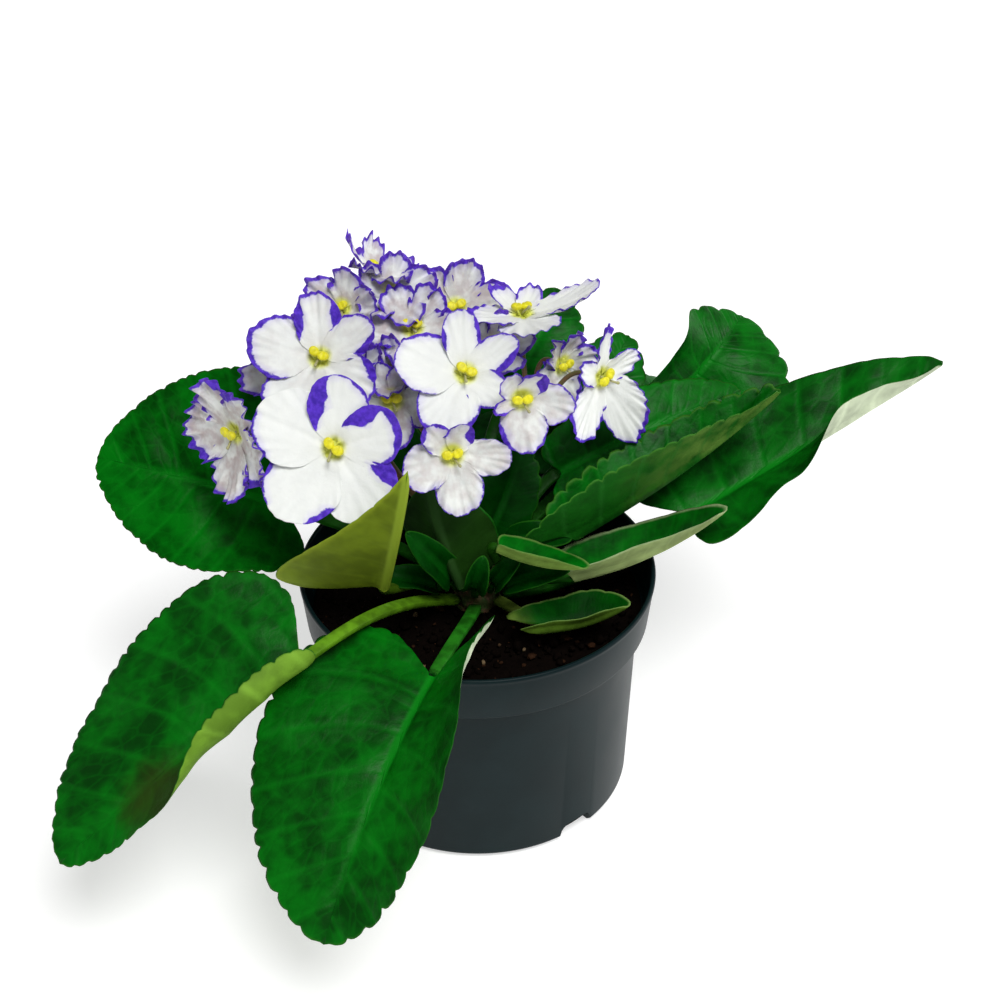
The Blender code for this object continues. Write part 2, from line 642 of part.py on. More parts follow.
# ---------------------------------------------------------------- pot, soil, crown
def turned(profile, start, end, count):
    """A lathed solid from the middle of its underside, out, up, and back in to the middle."""
    rings = [
        [
            Vector((radius * cos(2 * pi * j / count), radius * sin(2 * pi * j / count), z))
            for j in range(count)
        ]
        for radius, z in profile
    ]
    points, faces = loft(rings, Vector((0, 0, start)), Vector((0, 0, end)))
    return points, [face[::-1] for face in faces]


def make_pot():
    points, faces = turned(POT_PROFILE, 0.0, POT_FLOOR, POT_SEGMENTS)
    pot = add_object("pot", points, faces, "pot plastic")
    cutters = []
    for azimuth in DRAIN_AZIMUTHS:
        out = direction(azimuth, 0)
        across = Vector((-out.y, out.x, 0))
        side = [(DRAIN_WIDTH / 2 * a, DRAIN_HEIGHT * h) for a, h in DRAIN_ARCH]
        side = [(DRAIN_WIDTH / 2, -DRAIN_BELOW)] + side
        arch = side + [(-a, h) for a, h in side[::-1]]
        rings = []
        for radius in (DRAIN_IN, DRAIN_OUT):
            rings.append([out * radius + across * a + Vector((0, 0, h)) for a, h in arch])
        centre = Vector((0, 0, DRAIN_HEIGHT / 2))
        points, faces = loft(rings, out * DRAIN_IN + centre, out * DRAIN_OUT + centre)
        faces = [face[::-1] for face in faces]
        cutters.append(add_object(f"drain {azimuth}", points, faces, "pot plastic"))
    for number, cutter in enumerate(cutters):
        boolean = pot.modifiers.new(f"drain {number}", "BOOLEAN")
        boolean.operation = "DIFFERENCE"
        boolean.solver = "EXACT"
        boolean.object = cutter
    bake(pot)
    for cutter in cutters:
        bpy.data.objects.remove(cutter, do_unlink=True)
    return pot


def soil_height(radius, angle):
    lump = SOIL_LUMP * sin(5 * angle + 0.3 * radius) * sin(0.31 * radius + 2 * angle)
    crumb = SOIL_CRUMB * sin(11 * angle + radius)
    return SOIL_TOP + (lump + crumb) * min(1.0, max(0.0, (radius - SOIL_CALM) / 10))


def make_soil():
    angles = [2 * pi * j / SOIL_SEGMENTS for j in range(SOIL_SEGMENTS)]
    rings = [[Vector((r * cos(a), r * sin(a), z)) for a in angles] for r, z in SOIL_SIDE]
    for r in SOIL_RINGS:
        rings.append([Vector((r * cos(a), r * sin(a), soil_height(r, a))) for a in angles])
    points, faces = loft(rings, Vector((0, 0, SOIL_SIDE[0][1])), Vector((0, 0, SOIL_TOP)))
    return add_object("potting_soil", points, [face[::-1] for face in faces], "potting soil")


def make_crown():
    points, faces = turned(CROWN, CROWN[0][1], CROWN_TOP, CROWN_SEGMENTS)
    return add_object("crown", points, faces, "crown")


def main():
    clear_scene()
    make_pot()
    make_soil()
    make_crown()
    for name, leaf in LEAVES.items():
        make_leaf(name, leaf)
    for name, stalk in STALKS.items():
        make_stalk(name, stalk)
    for key, flower in FLOWERS.items():
        make_corolla("corolla_" + key, flower)
        make_stamens("stamens_" + key, flower)


main()
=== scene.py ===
"""The looks of the potted African violet: leaves, flowers, stems, soil and pot.

Tables are in millimetres and degrees, in the CAD model's frame: the origin is the middle of the
pot's underside, +Z is up and -Y the front. An azimuth is 0 at the front and 90 at +X. The shapes
repeat the CAD model's, so each fine piece lies where its plain solid does.
"""

from collections import namedtuple
from functools import cache

import bpy
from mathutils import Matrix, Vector
from numpy import (
    arange, arcsin, arctan2, array, asarray, broadcast_arrays, broadcast_to, clip, concatenate, cos,
    cross, cumsum, degrees, diff, exp, float32, full, gradient, hypot, interp, linspace,
    maximum, minimum, pi, radians, repeat, roll, sign, sin, sqrt, stack, where, zeros,
)
from numpy.linalg import norm
from numpy.random import default_rng


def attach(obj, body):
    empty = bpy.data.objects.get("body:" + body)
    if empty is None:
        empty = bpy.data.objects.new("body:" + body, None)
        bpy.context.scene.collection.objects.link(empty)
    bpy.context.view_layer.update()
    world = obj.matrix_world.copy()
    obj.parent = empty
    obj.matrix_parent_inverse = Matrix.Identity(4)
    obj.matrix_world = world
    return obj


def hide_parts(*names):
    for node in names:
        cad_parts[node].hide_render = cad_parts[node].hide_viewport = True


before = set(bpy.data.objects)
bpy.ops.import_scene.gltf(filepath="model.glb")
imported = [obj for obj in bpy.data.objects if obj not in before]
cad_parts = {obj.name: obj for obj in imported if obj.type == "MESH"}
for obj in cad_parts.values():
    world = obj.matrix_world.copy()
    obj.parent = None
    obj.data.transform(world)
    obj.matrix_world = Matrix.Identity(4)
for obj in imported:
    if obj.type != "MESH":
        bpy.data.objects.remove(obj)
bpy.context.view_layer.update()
MM = 0.001
UP = array([0, 0, 1])
SCENE = bpy.context.scene
WHITE = (1, 1, 1, 1)

# ---- leaves, as in the CAD model
ROOT_RADIUS = 8.2
# One side of a blade, petiole to tip: shares of the half width, the length and the lobe depth.
OUTLINE = (
    (0.04, 0.01, 0), (0.24, 0, -0.6), (0.5, 0, -1), (0.78, 0.03, -0.72), (0.95, 0.14, -0.25),
    (1, 0.3, 0), (0.97, 0.46, 0), (0.87, 0.62, 0), (0.69, 0.77, 0), (0.45, 0.89, 0),
    (0.21, 0.97, 0), (0, 1, 0),
)
# root: azimuth and height on the crown; rise: how steeply the petiole leaves; face, face_tip:
# azimuth and elevation the upper side looks to, at the base and the tip; width, lobes: of the left
# and right half; fold, curl: in four steps along each half or both, positive raises it; taper: how
# much narrower the tip is than an oval, sooner for a taper_power under 1.
Leaf = namedtuple(
    "Leaf", "root rise joint tip arch face width lobes fold curl wave face_tip taper taper_power",
    defaults=(None, 0, 1),
)
LEAVES = {
    "left": Leaf((-95, 72), 45, (-59, 10, 94), (-117, 20, 106), 4, (-10, 50), (27, 37), (0.15, 0.2),
        ((10, 5, 0, 0), (15, 8, 4, 0)), ((20, 5, -10, -10), (10, 0, -10, -15)), 1.5, face_tip=(-10, 45)),
    "front_left": Leaf((-54, 69), 24, (-50.5, -57.5, 88), (-119, -93, 44), 2, (-40, 58), (17, 41.5),
        (0.05, 0.1), ((10, 0, -5, -5), (10, 5, 0, 0)), ((170, 150, 60, -10), (5, 0, -5, -15)), 1.2,
        face_tip=(-40, 45), taper=0.1),
    "front": Leaf((-6, 68), 25, (-13, -57, 82), (-43, -121, 40), 8, (-22, 60), (27, 40), (0.24, 0.12),
        ((25, 20, 10, 5), (5, 0, 0, 0)), ((60, 45, 40, 20), (0, -5, -15, -20)), 1.5, face_tip=(-15, 40)),
    "small_left": Leaf((-72, 77), 10, (-28, -20, 86.5), (-19, -43, 144), -2, (183, 12), (18, 49),
        (0.05, 0.12), ((70, 75, 75, 60), (0, 0, 0, 0)), ((10, 10, 10, 10), (15, 10, 10, 5)), 0.6,
        face_tip=(183, 10), taper=0.92, taper_power=0.5),
    "small_front": Leaf((-5, 79), 50, (-5, -14, 82), (-14, -10, 116), -3, (175, 20), (17, 17), (0.05, 0.05),
        (30, 25, 20, 10), (20, 20, 10, 10), 0.6, face_tip=(180, 30)),
    "small_centre": Leaf((20, 84), 80, (4, -1, 92), (14, 10, 118), 2, (20, 20), (11, 10), (0.1, 0.1),
        (20, 15, 10, 5), (10, 10, 5, 5), 0.6, face_tip=(20, 30)),
    "small_right": Leaf((70, 76), 15, (30, -13, 84), (76, 0, 100), -5, (0, 80), (13, 11), (0.08, 0.1),
        ((5, 5, 5, 5), (60, 62, 60, 45)), ((10, 10, 10, 5), (15, 15, 10, 10)), 0.6, taper=0.15),
    "small_inner": Leaf((48, 79), 0, (6.5, -22.5, 101.5), (33, -28.5, 99.5), -3, (0, 80), (7, 6),
        (0.05, 0.05), ((5, 5, 5, 5), (60, 62, 60, 45)), ((10, 10, 10, 5), (15, 15, 10, 10)), 0.4),
    "small_front_right": Leaf((48, 69), 5, (26, -25, 74), (46, -21, 80), -2, (0, 80), (10, 6), (0.8, 0.7),
        ((15, 15, 15, 10), (60, 60, 60, 50)), ((10, 10, 10, 5), (15, 15, 10, 10)), 0.4),
    "right": Leaf((102, 82), 45, (31, -3, 93), (93, 25, 126), -4, (-10, 80), (16, 24), (0.1, 0.25),
        ((40, 40, 35, 30), (75, 75, 75, 60)), ((10, 5, 0, 0), (10, 5, 5, 5)), 1.2, face_tip=(0, 75),
        taper=0.15),
    "right_upper": Leaf((122, 77), 55, (26, 21, 98.5), (84, 46, 112), 4, (0, 55), (14, 12), (0.04, 0.08),
        ((10, 10, 5, 0), (0, 0, 0, 0)), ((10, 5, 0, 0), (5, 0, -10, -15)), 0.8, face_tip=(0, 50)),
    "far_right": Leaf((80, 69), 5, (66, 14, 87), (146, 42, 125), -1, (0, 75), (27, 19), (0.12, 0.02),
        ((8, 8, 4, 0), (0, 30, 80, 55)), ((5, 5, 0, 0), (5, 10, 20, 20)), 1, face_tip=(0, 70), taper=0.25),
    "back_right": Leaf((136, 71), 50, (64, 56, 103), (87, 79, 120), 8, (10, 35), (17, 28), (0.15, 0.15),
        ((20, 20, 10, 5), (10, 10, 5, 0)), ((60, 50, 20, 5), (5, 0, -5, -10)), 1.5, face_tip=(15, 60)),
    "back_small": Leaf((154, 75), 50, (31, 38, 98), (49, 62, 123), 4, (0, 45), (14, 14), (0.05, 0.05),
        (15, 10, 5, 0), (10, 5, 0, 0), 1, face_tip=(0, 40)),
    "back": Leaf((173, 79), 60, (8, 40, 110), (28, 67, 137), 4, (0, 45), (15, 17), (0.12, 0.12),
        (15, 10, 5, 0), (10, 5, 0, 0), 1.2, face_tip=(0, 40)),
    "rear_left": Leaf((-135, 70), 45, (-36, 30, 88), (-68, 82, 92), 6, (-40, 80), (26, 26), (0.13, 0.13),
        (10, 8, 4, 0), (10, 0, -10, -15), 1.5, face_tip=(-60, 75)),
    "rear": Leaf((-172, 70), 45, (-6, 48, 84), (-10, 114, 80), 7, (0, 80), (26, 26), (0.12, 0.12),
        (10, 8, 4, 0), (10, 0, -10, -15), 1.5),
    "rear_right": Leaf((163, 66), 30, (34, 44, 82), (66, 98, 82), 6, (30, 80), (24, 24), (0.12, 0.12),
        (10, 8, 4, 0), (10, 0, -10, -15), 1.5, face_tip=(40, 75)),
}

# ---- flowers, as in the CAD model
# Petals: direction, distance of the middle, radius. Two smaller ones stand above.
PETALS = ((57, 10.4, 8.2), (123, 10.4, 8.2), (194, 11.8, 9.8), (270, 12.2, 10), (346, 11.8, 9.8))
# face: azimuth and elevation it looks to; size: against 44 mm across; spin: turn of the petals,
# anticlockwise seen from in front; cup: rise towards the margin; bend: how far each petal's end
# comes forwards; grow: each petal's own size.
Flower = namedtuple(
    "Flower", "centre face size spin cup bend grow", defaults=(0, 3, (0, 0, 0, 0, 0), (1, 1, 1, 1, 1))
)
FLOWERS = {
    "01": Flower((-41, -20, 136), (-5, 35), 1.13, spin=-38, cup=2, bend=(3, 3, 0, 0, 0)),
    "02": Flower((-46, 10, 148), (-15, 50), 1.02, spin=-20, bend=(2, 2, 0, 0, 0)),
    "03": Flower((-71, -6, 132), (-50, 5), 0.95, spin=5, cup=4),
    "04": Flower((-3, 4, 146), (5, 50), 0.98, spin=-30, bend=(2, 2, 0, 0, 0), grow=(0.95, 1, 1, 1, 0.72)),
    "05": Flower(
        (14, 30, 151), (-168, 88), 0.86, spin=179, bend=(0, 0, 0, 0, 1),
        grow=(0.7, 0.8, 0.95, 1, 1.25)),
    "06": Flower((13.2, -6, 143.2), (10, 15), 0.71, bend=(4, 4, 0, 0, 0), grow=(0.8, 0.8, 0.6, 1, 1)),
    "07": Flower((38, 15, 137), (47, 12), 1.02, spin=24, cup=2, grow=(0.9, 0.7, 0.95, 1.15, 0.65)),
    "08": Flower((-7, -15, 130), (5, 25), 0.8, spin=8, bend=(2, 2, 0, 0, 0), grow=(0.7, 0.8, 0.9, 1, 1)),
    "09": Flower((-19, 28, 147), (-5, 60), 0.74, cup=5),
    "10": Flower((-6, 48, 142), (10, 45), 0.8, spin=10, cup=5),
    "11": Flower((-30.5, 45, 157), (115, 70), 0.62, cup=4),
    "12": Flower((-25, 9, 133.5), (0, 30), 0.67, cup=4),
    "13": Flower((-52, 50, 128), (-140, 25), 0.85),
    "14": Flower((8, 70, 122), (165, 30), 0.85),
    "15": Flower((-40.5, 31.5, 151.5), (-30, 40), 0.65, spin=30, cup=5),
    "16": Flower((-58, 19, 138), (-35, 30), 0.62, spin=20, cup=4),
    "17": Flower((26.5, 31, 131.5), (45, 5), 0.62),
}

# Peduncles: root (azimuth, height), how steeply it leaves, fork, the flowers it carries.
Stalk = namedtuple("Stalk", "root rise fork carries")
STALKS = {
    "left": Stalk((-118, 82), 55, (-28, 10, 113), ("01", "02", "03", "16")),
    "front": Stalk((-150, 84), 75, (-9, 6, 113), ("04", "08", "12")),
    "right": Stalk((130, 83), 70, (16, 16, 114), ("05", "06", "07", "17")),
    "back": Stalk((-160, 79.5), 70, (-16, 36, 118), ("09", "10", "11", "13", "14", "15")),
}

# ---- pot, as in the CAD model
POT_PROFILE = (  # radius, height: underside, wall, step, rim band, lip, inside
    (45.8, 0), (47.8, 1.8), (50, 61.6), (53.2, 62), (54.8, 76), (55.2, 77.3), (54.5, 78),
    (53.6, 77.6), (51.9, 63), (48.6, 60.4), (46.3, 2.2),
)
POT_FLOOR, POT_SIDES = 2.2, 160
DRAIN_AZIMUTHS = (40, 112, 184, 256, 328)
DRAIN_SIZE = (6.5, 6)  # half width and height
DRAIN_REACH, DRAIN_HEART = (38.8, 60), 2.5  # cut from and to these radii, round this height

MIDRIB_ROUND = 3  # how far from the midrib its fold is rounded
LEAF_THICK = 0.45
ROW_PITCH, COLUMN_PITCH = 1, 1.35

# Veins: how many leave each side of the midrib, their slant at the base and the tip, their sweep.
VEINS, SLANT_BASE, SLANT_TIP, SWEEP = 6.6, -0.15, 0.85, 0.25
QUILT, QUILT_CELL, FOLD = 0.45, 7.5, 0.9  # rise between the veins, their net, and long soft folds
GROOVE = 0.7
STEM_PHASE = -9  # the mark that tells a petiole from its blade
TEETH = (5.5, 0.8)  # how far apart the teeth of a margin are, and how deep

# Colours of a blade's upper side, with its paler parts and veins, and of its underside.
GREEN, GREEN_LIGHT = (0.0001, 0.038, 0.001), (0.0004, 0.135, 0.0035)
# The darker upper-side greens below are painted shade, for leaves deep in the crown under the flowers.
SHADED_GREEN, SHADED_GREEN_LIGHT = (0.0002, 0.022, 0.0008), (0.001, 0.06, 0.002)
UNDER_PALE = (0.6, 0.68, 0.48)
# The second underside green here is painted shade, darker for leaves deep in the crown.
UNDER_GREEN, UNDER_SHADED = (0.004, 0.1, 0.003), (0.01, 0.05, 0.003)
# teeth: how far apart and how deep; relief: how strongly the blade puckers; rim: the colour of a painted
# highlight along the margin.
LEAF_LOOKS = {
    "left": dict(teeth=(3.6, 0.7), shine=0.03),
    "front_left": dict(teeth=(4.6, 0.8), under=(0.18, 0.36, 0.03), stem=(0.13, 0.32, 0.012),
        stain=(-88, -86, 62)),
    "front": dict(teeth=(6.5, 1), under=UNDER_PALE, stem=(0.02, 0.2, 0.01)),
    "small_left": dict(teeth=(9, 0.2), relief=0.35, under=(0.2, 0.28, 0.015), stem=(0.1, 0.22, 0.01),
        rim=(0.36, 0.45, 0.03), rim_highlight_width=2.2),
    "small_front": dict(teeth=(9, 0.15), relief=0.3, under=UNDER_SHADED, rim_highlight_width=0.4),
    "small_centre": dict(relief=0.4, upper=SHADED_GREEN, lighter=SHADED_GREEN_LIGHT),
    "small_right": dict(teeth=(9, 0.2), relief=0.4, under=(0.32, 0.42, 0.15), rim=(0.42, 0.52, 0.26),
        rim_highlight_width=1.4),
    "small_inner": dict(teeth=(9, 0.2), relief=0.3, under=(0.2, 0.33, 0.06), stem=(0.01, 0.06, 0.003),
        rim=(0.2, 0.33, 0.08), rim_highlight_width=0.9, shine=0.03),
    "small_front_right": dict(teeth=(8, 0.3), relief=0.3, under=(0.11, 0.22, 0.02), upper=SHADED_GREEN,
        lighter=SHADED_GREEN_LIGHT, stem=(0.14, 0.22, 0.03), rim=(0.2, 0.33, 0.08), rim_highlight_width=0.8, shine=0.02),
    "right": dict(teeth=(6, 1.5), under=UNDER_GREEN, under_tip=(0.1, 0.21, 0.03), rim=(0.06, 0.2, 0.02),
        rim_highlight_width=1.2),
    "right_upper": dict(teeth=(5, 0.5)),
    "far_right": dict(teeth=(12, 0.2), under=UNDER_PALE),
    "back_right": dict(teeth=(9, 0.9)),
}
# The youngest leaves take the painted shade greens of the crown.
YOUNG_LOOK = dict(
    teeth=(9, 0.1), relief=0.25, upper=SHADED_GREEN, lighter=SHADED_GREEN_LIGHT, under=UNDER_SHADED, rim_highlight_width=0.5,
    shine=0.04,
)


def young(root, rise, joint, tip, face, width, fold=25):
    """A narrow young leaf, folded along its midrib."""
    folds = (fold, fold, 0.7 * fold, 0.4 * fold)
    widths, lobes = (width, width), (0.03, 0.03)
    return Leaf(root, rise, joint, tip, 2, face, widths, lobes, folds, (10, 10, 5, 5), 0.3)


# The youngest leaves, round the crown: fine pieces only.
YOUNG = {
    "young_left": young((-45, 74), 45, (-8, -13, 83), (-21, -20, 106), (12, 40), 5.5),
    "young_right": young((55, 74), 35, (9, -13, 81), (28, -20, 92), (-15, 50), 5),
    "young_front": young((-5, 73), 65, (-1, -16, 82), (2, -21, 98), (0, 30), 4.5, fold=35),
    "young_middle": young((28, 74), 60, (5, -14, 82), (13, -18, 96), (-10, 35), 4, fold=35),
    "young_low": young((-75, 73), 15, (-13, -9, 77), (-31, -11, 82), (-20, 65), 5),
    "young_behind": young((60, 82), 40, (10, -4, 90), (29, -6, 93), (-10, 60), 5.5),
}

# ---- how each flower looks
# ruffle: how far its margin waves; band: width of its purple margin; shade: how much grey-beige
# painted shade lies on it, for flowers in shade; slim: a petal's width against a round one; lift: how
# far it comes forwards; marks: petal, place on its margin (0 at the tip, 90 on its left), reach, width.
FLOWER_LOOKS = {
    "01": dict(ruffle=0.35, band=(0.7, 0.35, 0, 0, 0), slim=(0.95, 0.96, 1.03, 1.03, 1),
        marks=((1, 82, 66, 5.6), (1, -50, 40, 0.9), (0, 96, 52, 5.6), (0, 0, 75, 2.4), (0, -75, 30, 1.2),
        # The wide mark on petal 4, (4, 92, 50, 5.2), is partly the petal's purple margin and partly painted
        # shadow.
        (4, 92, 50, 5.2), (4, 30, 50, 1.8), (3, 70, 30, 1.7), (3, -84, 34, 1.2), (2, 40, 50, 0.6),
        (3, -40, 30, 0.4))),
    "02": dict(ruffle=0.9, band=(0.7, 0.9, 1, 0.8, 0.7), slim=(0.75, 0.85, 1, 1, 0.9),
        marks=((1, 84, 50, 3.4), (1, -88, 50, 3.2), (0, -70, 50, 2.8), (4, 70, 40, 2.4), (2, 0, 80, 1.6)),
        shade=0.25),
    "03": dict(ruffle=1.7, band=0.9, shade=0.95, marks=((1, -40, 50, 3), (0, 60, 50, 3), (2, 60, 50, 2.4),
        (4, -60, 40, 2))),
    "04": dict(ruffle=0.6, band=(0.5, 0.4, 0.4, 0.5, 0.7), slim=(0.72, 0.72, 1, 0.95, 0.85),
        marks=((0, -70, 60, 2.8), (1, -80, 40, 1.8), (1, 90, 30, 1.8), (3, 30, 90, 1.6), (2, -70, 50, 1))),
    "05": dict(ruffle=0.7, band=(0.8, 0.8, 0.8, 0.3, 0.5), slim=(0.8, 0.8, 1, 1.1, 0.52),
        lift=(1, 2, 0, 0, 6), marks=((2, -30, 70, 2.4), (1, 0, 80, 1.8)), shade=0.1),
    "06": dict(ruffle=1, band=(0.9, 0.6, 0.9, 0.5, 0.4), slim=(0.9, 0.9, 0.5, 1, 0.95), shade=0.6,
        marks=((0, -60, 60, 3.6), (0, 40, 60, 1.6), (3, -70, 40, 1.6))),
    "07": dict(ruffle=0.8, band=(1.2, 1.2, 0.8, 0.6, 0.6), slim=(0.4, 0.7, 0.72, 0.72, 0.7),
        lift=(1, 0, 0, 1, 1), marks=((0, 0, 90, 2.2), (3, 20, 60, 1.6), (2, -60, 60, 1.6))),
    "08": dict(ruffle=1.1, band=(0.4, 0.4, 0.25, 0.25, 0.2), slim=(0.9, 0.85, 1, 0.9, 0.72), shade=0.55,
        marks=((0, -60, 50, 3.4), (1, 30, 40, 1.6), (1, -60, 40, 1.2))),
    "10": dict(ruffle=2, band=1.3, shade=0.8),
    "11": dict(ruffle=1.7, band=1, shade=0.85, slim=(0.6, 1, 1, 0.9, 0.7), lift=(4, 0, 0, 0, 2)),
    "12": dict(ruffle=1.5, band=0.8, shade=0.9),
}
# The other flowers stand in shade and carry much painted shade.
OTHER_LOOK = dict(ruffle=1.9, band=1, shade=0.85)
# Half open flowers between the others: fine pieces only.
BUDS = {
    "51": Flower((-23, 17, 138), (-20, 55), 0.5, cup=8),
    "52": Flower((-37, 16, 140), (-20, 60), 0.5, cup=8, spin=30),
    "53": Flower((6, 26, 141), (20, 50), 0.5, cup=8, spin=10),
    "54": Flower((-25, 38, 153), (10, 55), 0.62, cup=6, spin=20),
}


# ---- small maths
def direction(azimuth, elevation):
    a, e = radians(azimuth), radians(elevation)
    return array([sin(a) * cos(e), -cos(a) * cos(e), sin(e)])


def unit(v):
    return v / norm(v, axis=-1, keepdims=True)


def dot(a, b):
    return (a * b).sum(-1, keepdims=True)


def ease(low, high, value):
    """0 up to low, 1 from high, smooth between."""
    t = clip((value - low) / (high - low), 0, 1)
    return t * t * (3 - 2 * t)


def steps(table, share):
    """Smooth values from evenly spaced steps."""
    table = array(table)
    place = clip(share, 0, 1) * (len(table) - 1)
    i = minimum(place.astype(int), len(table) - 2)
    f = ease(0, 1, place - i)
    return table[i] * (1 - f) + table[i + 1] * f


def cubic(p0, p1, p2, p3, t):
    """Points and directions along a cubic curve."""
    t = asarray(t)[:, None]
    s = 1 - t
    point = s**3 * p0 + 3 * s * s * t * p1 + 3 * s * t * t * p2 + t**3 * p3
    return point, unit(3 * s * s * (p1 - p0) + 6 * s * t * (p2 - p1) + 3 * t * t * (p3 - p2))


def catmull(table, share):
    """A smooth curve through the rows of a table."""
    table = array(table)
    last = len(table) - 1
    place = clip(share, 0, 1) * last
    i = minimum(place.astype(int), last - 1)
    f = (place - i)[:, None]
    a, b, c, d = (table[clip(i + k, 0, last)] for k in (-1, 0, 1, 2))
    return b + 0.5 * f * (c - a + f * (2 * a - 5 * b + 4 * c - d + f * (3 * (b - c) + d - a)))


def ripple(values, seed, count=3):
    """A soft seeded wander between about -1 and 1."""
    draw = default_rng(seed)
    total = 0
    for _ in range(count):
        way = draw.normal(size=values.shape[-1])
        total = total + sin(values @ way + draw.uniform(0, 2 * pi))
    return total / count


# ---- mesh helpers
def loft(rings, start, end, flip=False):
    """A closed skin over rings, with a point at either end. Each ring turns from right to up, seen
    along the way that they run, or the other way for flip."""
    rings = asarray(rings)
    rows, count = rings.shape[:2]
    points = concatenate([[start], rings.reshape(-1, 3), [end]])
    j = arange(count)
    k = (j + 1) % count
    a = 1 + arange(rows - 1)[:, None] * count
    b = a + count
    quads = stack([a + j, b + j, b + k, a + k], -1).reshape(-1, 4).tolist()
    last = 1 + (rows - 1) * count
    first_cap = stack([0 * j, 1 + j, 1 + k], -1).tolist()
    last_cap = stack([0 * j + len(points) - 1, last + k, last + j], -1).tolist()
    faces = first_cap + quads + last_cap
    return points, [face[::-1] for face in faces] if flip else faces


def shell(top, bottom):
    """A closed skin between two grids of points, the first on the outer side."""
    rows, cols = top.shape[:2]
    n = rows * cols
    index = arange(n).reshape(rows, cols)
    a, b, c, d = index[:-1, :-1], index[:-1, 1:], index[1:, 1:], index[1:, :-1]
    upper = stack([a, d, c, b], -1).reshape(-1, 4)
    lower = stack([a, b, c, d], -1).reshape(-1, 4) + n
    p = concatenate([index[0], index[1:, -1], index[-1, -2::-1], index[-2:0:-1, 0]])
    q = roll(p, -1)
    walls = stack([p, q, q + n, p + n], -1)
    points = concatenate([top.reshape(-1, 3), bottom.reshape(-1, 3)])
    return points, concatenate([upper, lower, walls]).tolist()


def tube(path, slopes, radii, sides, across):
    """The rings of a round tube along a path."""
    turn = 2 * pi * arange(sides) / sides
    across = broadcast_to(across, path.shape)
    across = unit(across - dot(across, slopes) * slopes)
    up = cross(across, slopes)
    radii = broadcast_to(radii, len(path))[:, None, None]
    ring = cos(turn)[None, :, None] * across[:, None] + sin(turn)[None, :, None] * up[:, None]
    return path[:, None] + radii * ring


def put(name, data):
    obj = bpy.data.objects.new(name, data)
    SCENE.collection.objects.link(obj)
    return obj


def put_mesh(name, points, faces):
    mesh = bpy.data.meshes.new(name)
    mesh.from_pydata((asarray(points) * MM).tolist(), [], faces)
    return put(name, mesh)


class Skin:
    """Closed skins gathered into one piece, with numbers at each point for the material."""

    def __init__(self):
        self.points, self.faces, self.marks, self.count = [], [], [], 0

    def add(self, points, faces, marks=(0, 0, 0, 0)):
        """marks: four numbers for each point, or for all."""
        self.faces += [[i + self.count for i in face] for face in faces]
        self.points.append(points)
        self.marks.append(broadcast_to(marks, (len(points), 4)))
        self.count += len(points)

    def piece(self, name, material, slot, *nodes):
        obj = put_mesh(name, concatenate(self.points), self.faces)
        mesh = obj.data
        mesh.materials.append(material)
        mesh.shade_smooth()
        layer = mesh.attributes.new("marks", "FLOAT_COLOR", "POINT")
        layer.data.foreach_set("color", concatenate(self.marks).astype(float32).ravel())
        mesh.update()
        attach(obj, "root")
        if nodes:
            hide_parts(*nodes)
        return obj


# ---- leaves
def by_side(row, right, share):
    left_row, right_row = row if isinstance(row[0], tuple) else (row, row)
    return where(right, steps(right_row, share), steps(left_row, share))


class Blade:
    """The bent surface of one leaf blade: flat (across, along) to points in space."""

    def __init__(self, leaf):
        self.leaf = leaf
        self.start, self.end = array(leaf.joint), array(leaf.tip)
        chord = self.end - self.start
        self.length = norm(chord)
        chord = chord / self.length
        self.face_a, self.face_b = direction(*leaf.face), direction(*(leaf.face_tip or leaf.face))
        lift = unit(self.face_a - self.face_a @ chord * chord)
        self.middle = (self.start + self.end) / 2 + 2 * leaf.arch * lift

    def spine(self, share):
        """Points, forward, right and up on the midrib."""
        t = maximum(share, 0)[..., None]
        s = 1 - t
        point = s * s * self.start + 2 * s * t * self.middle + t * t * self.end
        forward = unit(s * (self.middle - self.start) + t * (self.end - self.middle))
        point = point + minimum(share, 0)[..., None] * self.length * forward
        face = unit(self.face_a * s + self.face_b * t)
        up = unit(face - dot(face, forward) * forward)
        return point, forward, cross(forward, up), up

    def at(self, across, along, lift):
        """Points across (right positive) and along from the joint, raised by lift."""
        share = along / self.length
        point, _, right, up = self.spine(share)
        leaf, d, on_right = self.leaf, abs(across), across >= 0
        side = where(on_right, 1, -1)
        width = where(on_right, leaf.width[1], leaf.width[0])
        fold = radians(by_side(leaf.fold, on_right, share)) * ease(0, MIDRIB_ROUND, d)
        curl = radians(by_side(leaf.curl, on_right, share)) / width
        curl = where(abs(curl) < 1e-5, 1e-5, curl)
        turn = fold + curl * d
        out = (sin(turn) - sin(fold)) / curl
        high = (cos(fold) - cos(turn)) / curl
        wave = leaf.wave * (d / width) ** 2
        lift = lift + wave * sin(7 * share + 2.2 * side + 0.05 * self.length)
        sideways = side * (out - lift * sin(turn))
        upwards = high + lift * cos(turn)
        return point + right * sideways[..., None] + up * upwards[..., None]


def outline(leaf, share, length, right):
    """Flat margin points of one half: across and along."""
    values = catmull(OUTLINE, share)
    width, lobe = leaf.width[right], leaf.lobes[right]
    along = maximum(values[:, 1], 0)
    narrow = 1 - leaf.taper * along ** leaf.taper_power
    across = maximum(values[:, 0], 0) * width * narrow
    return stack([across, values[:, 1] * length + values[:, 2] * lobe * length], -1)


def arc_lengths(path):
    steps_along = norm(diff(path, axis=0), axis=1)
    return concatenate([[0], cumsum(steps_along)])


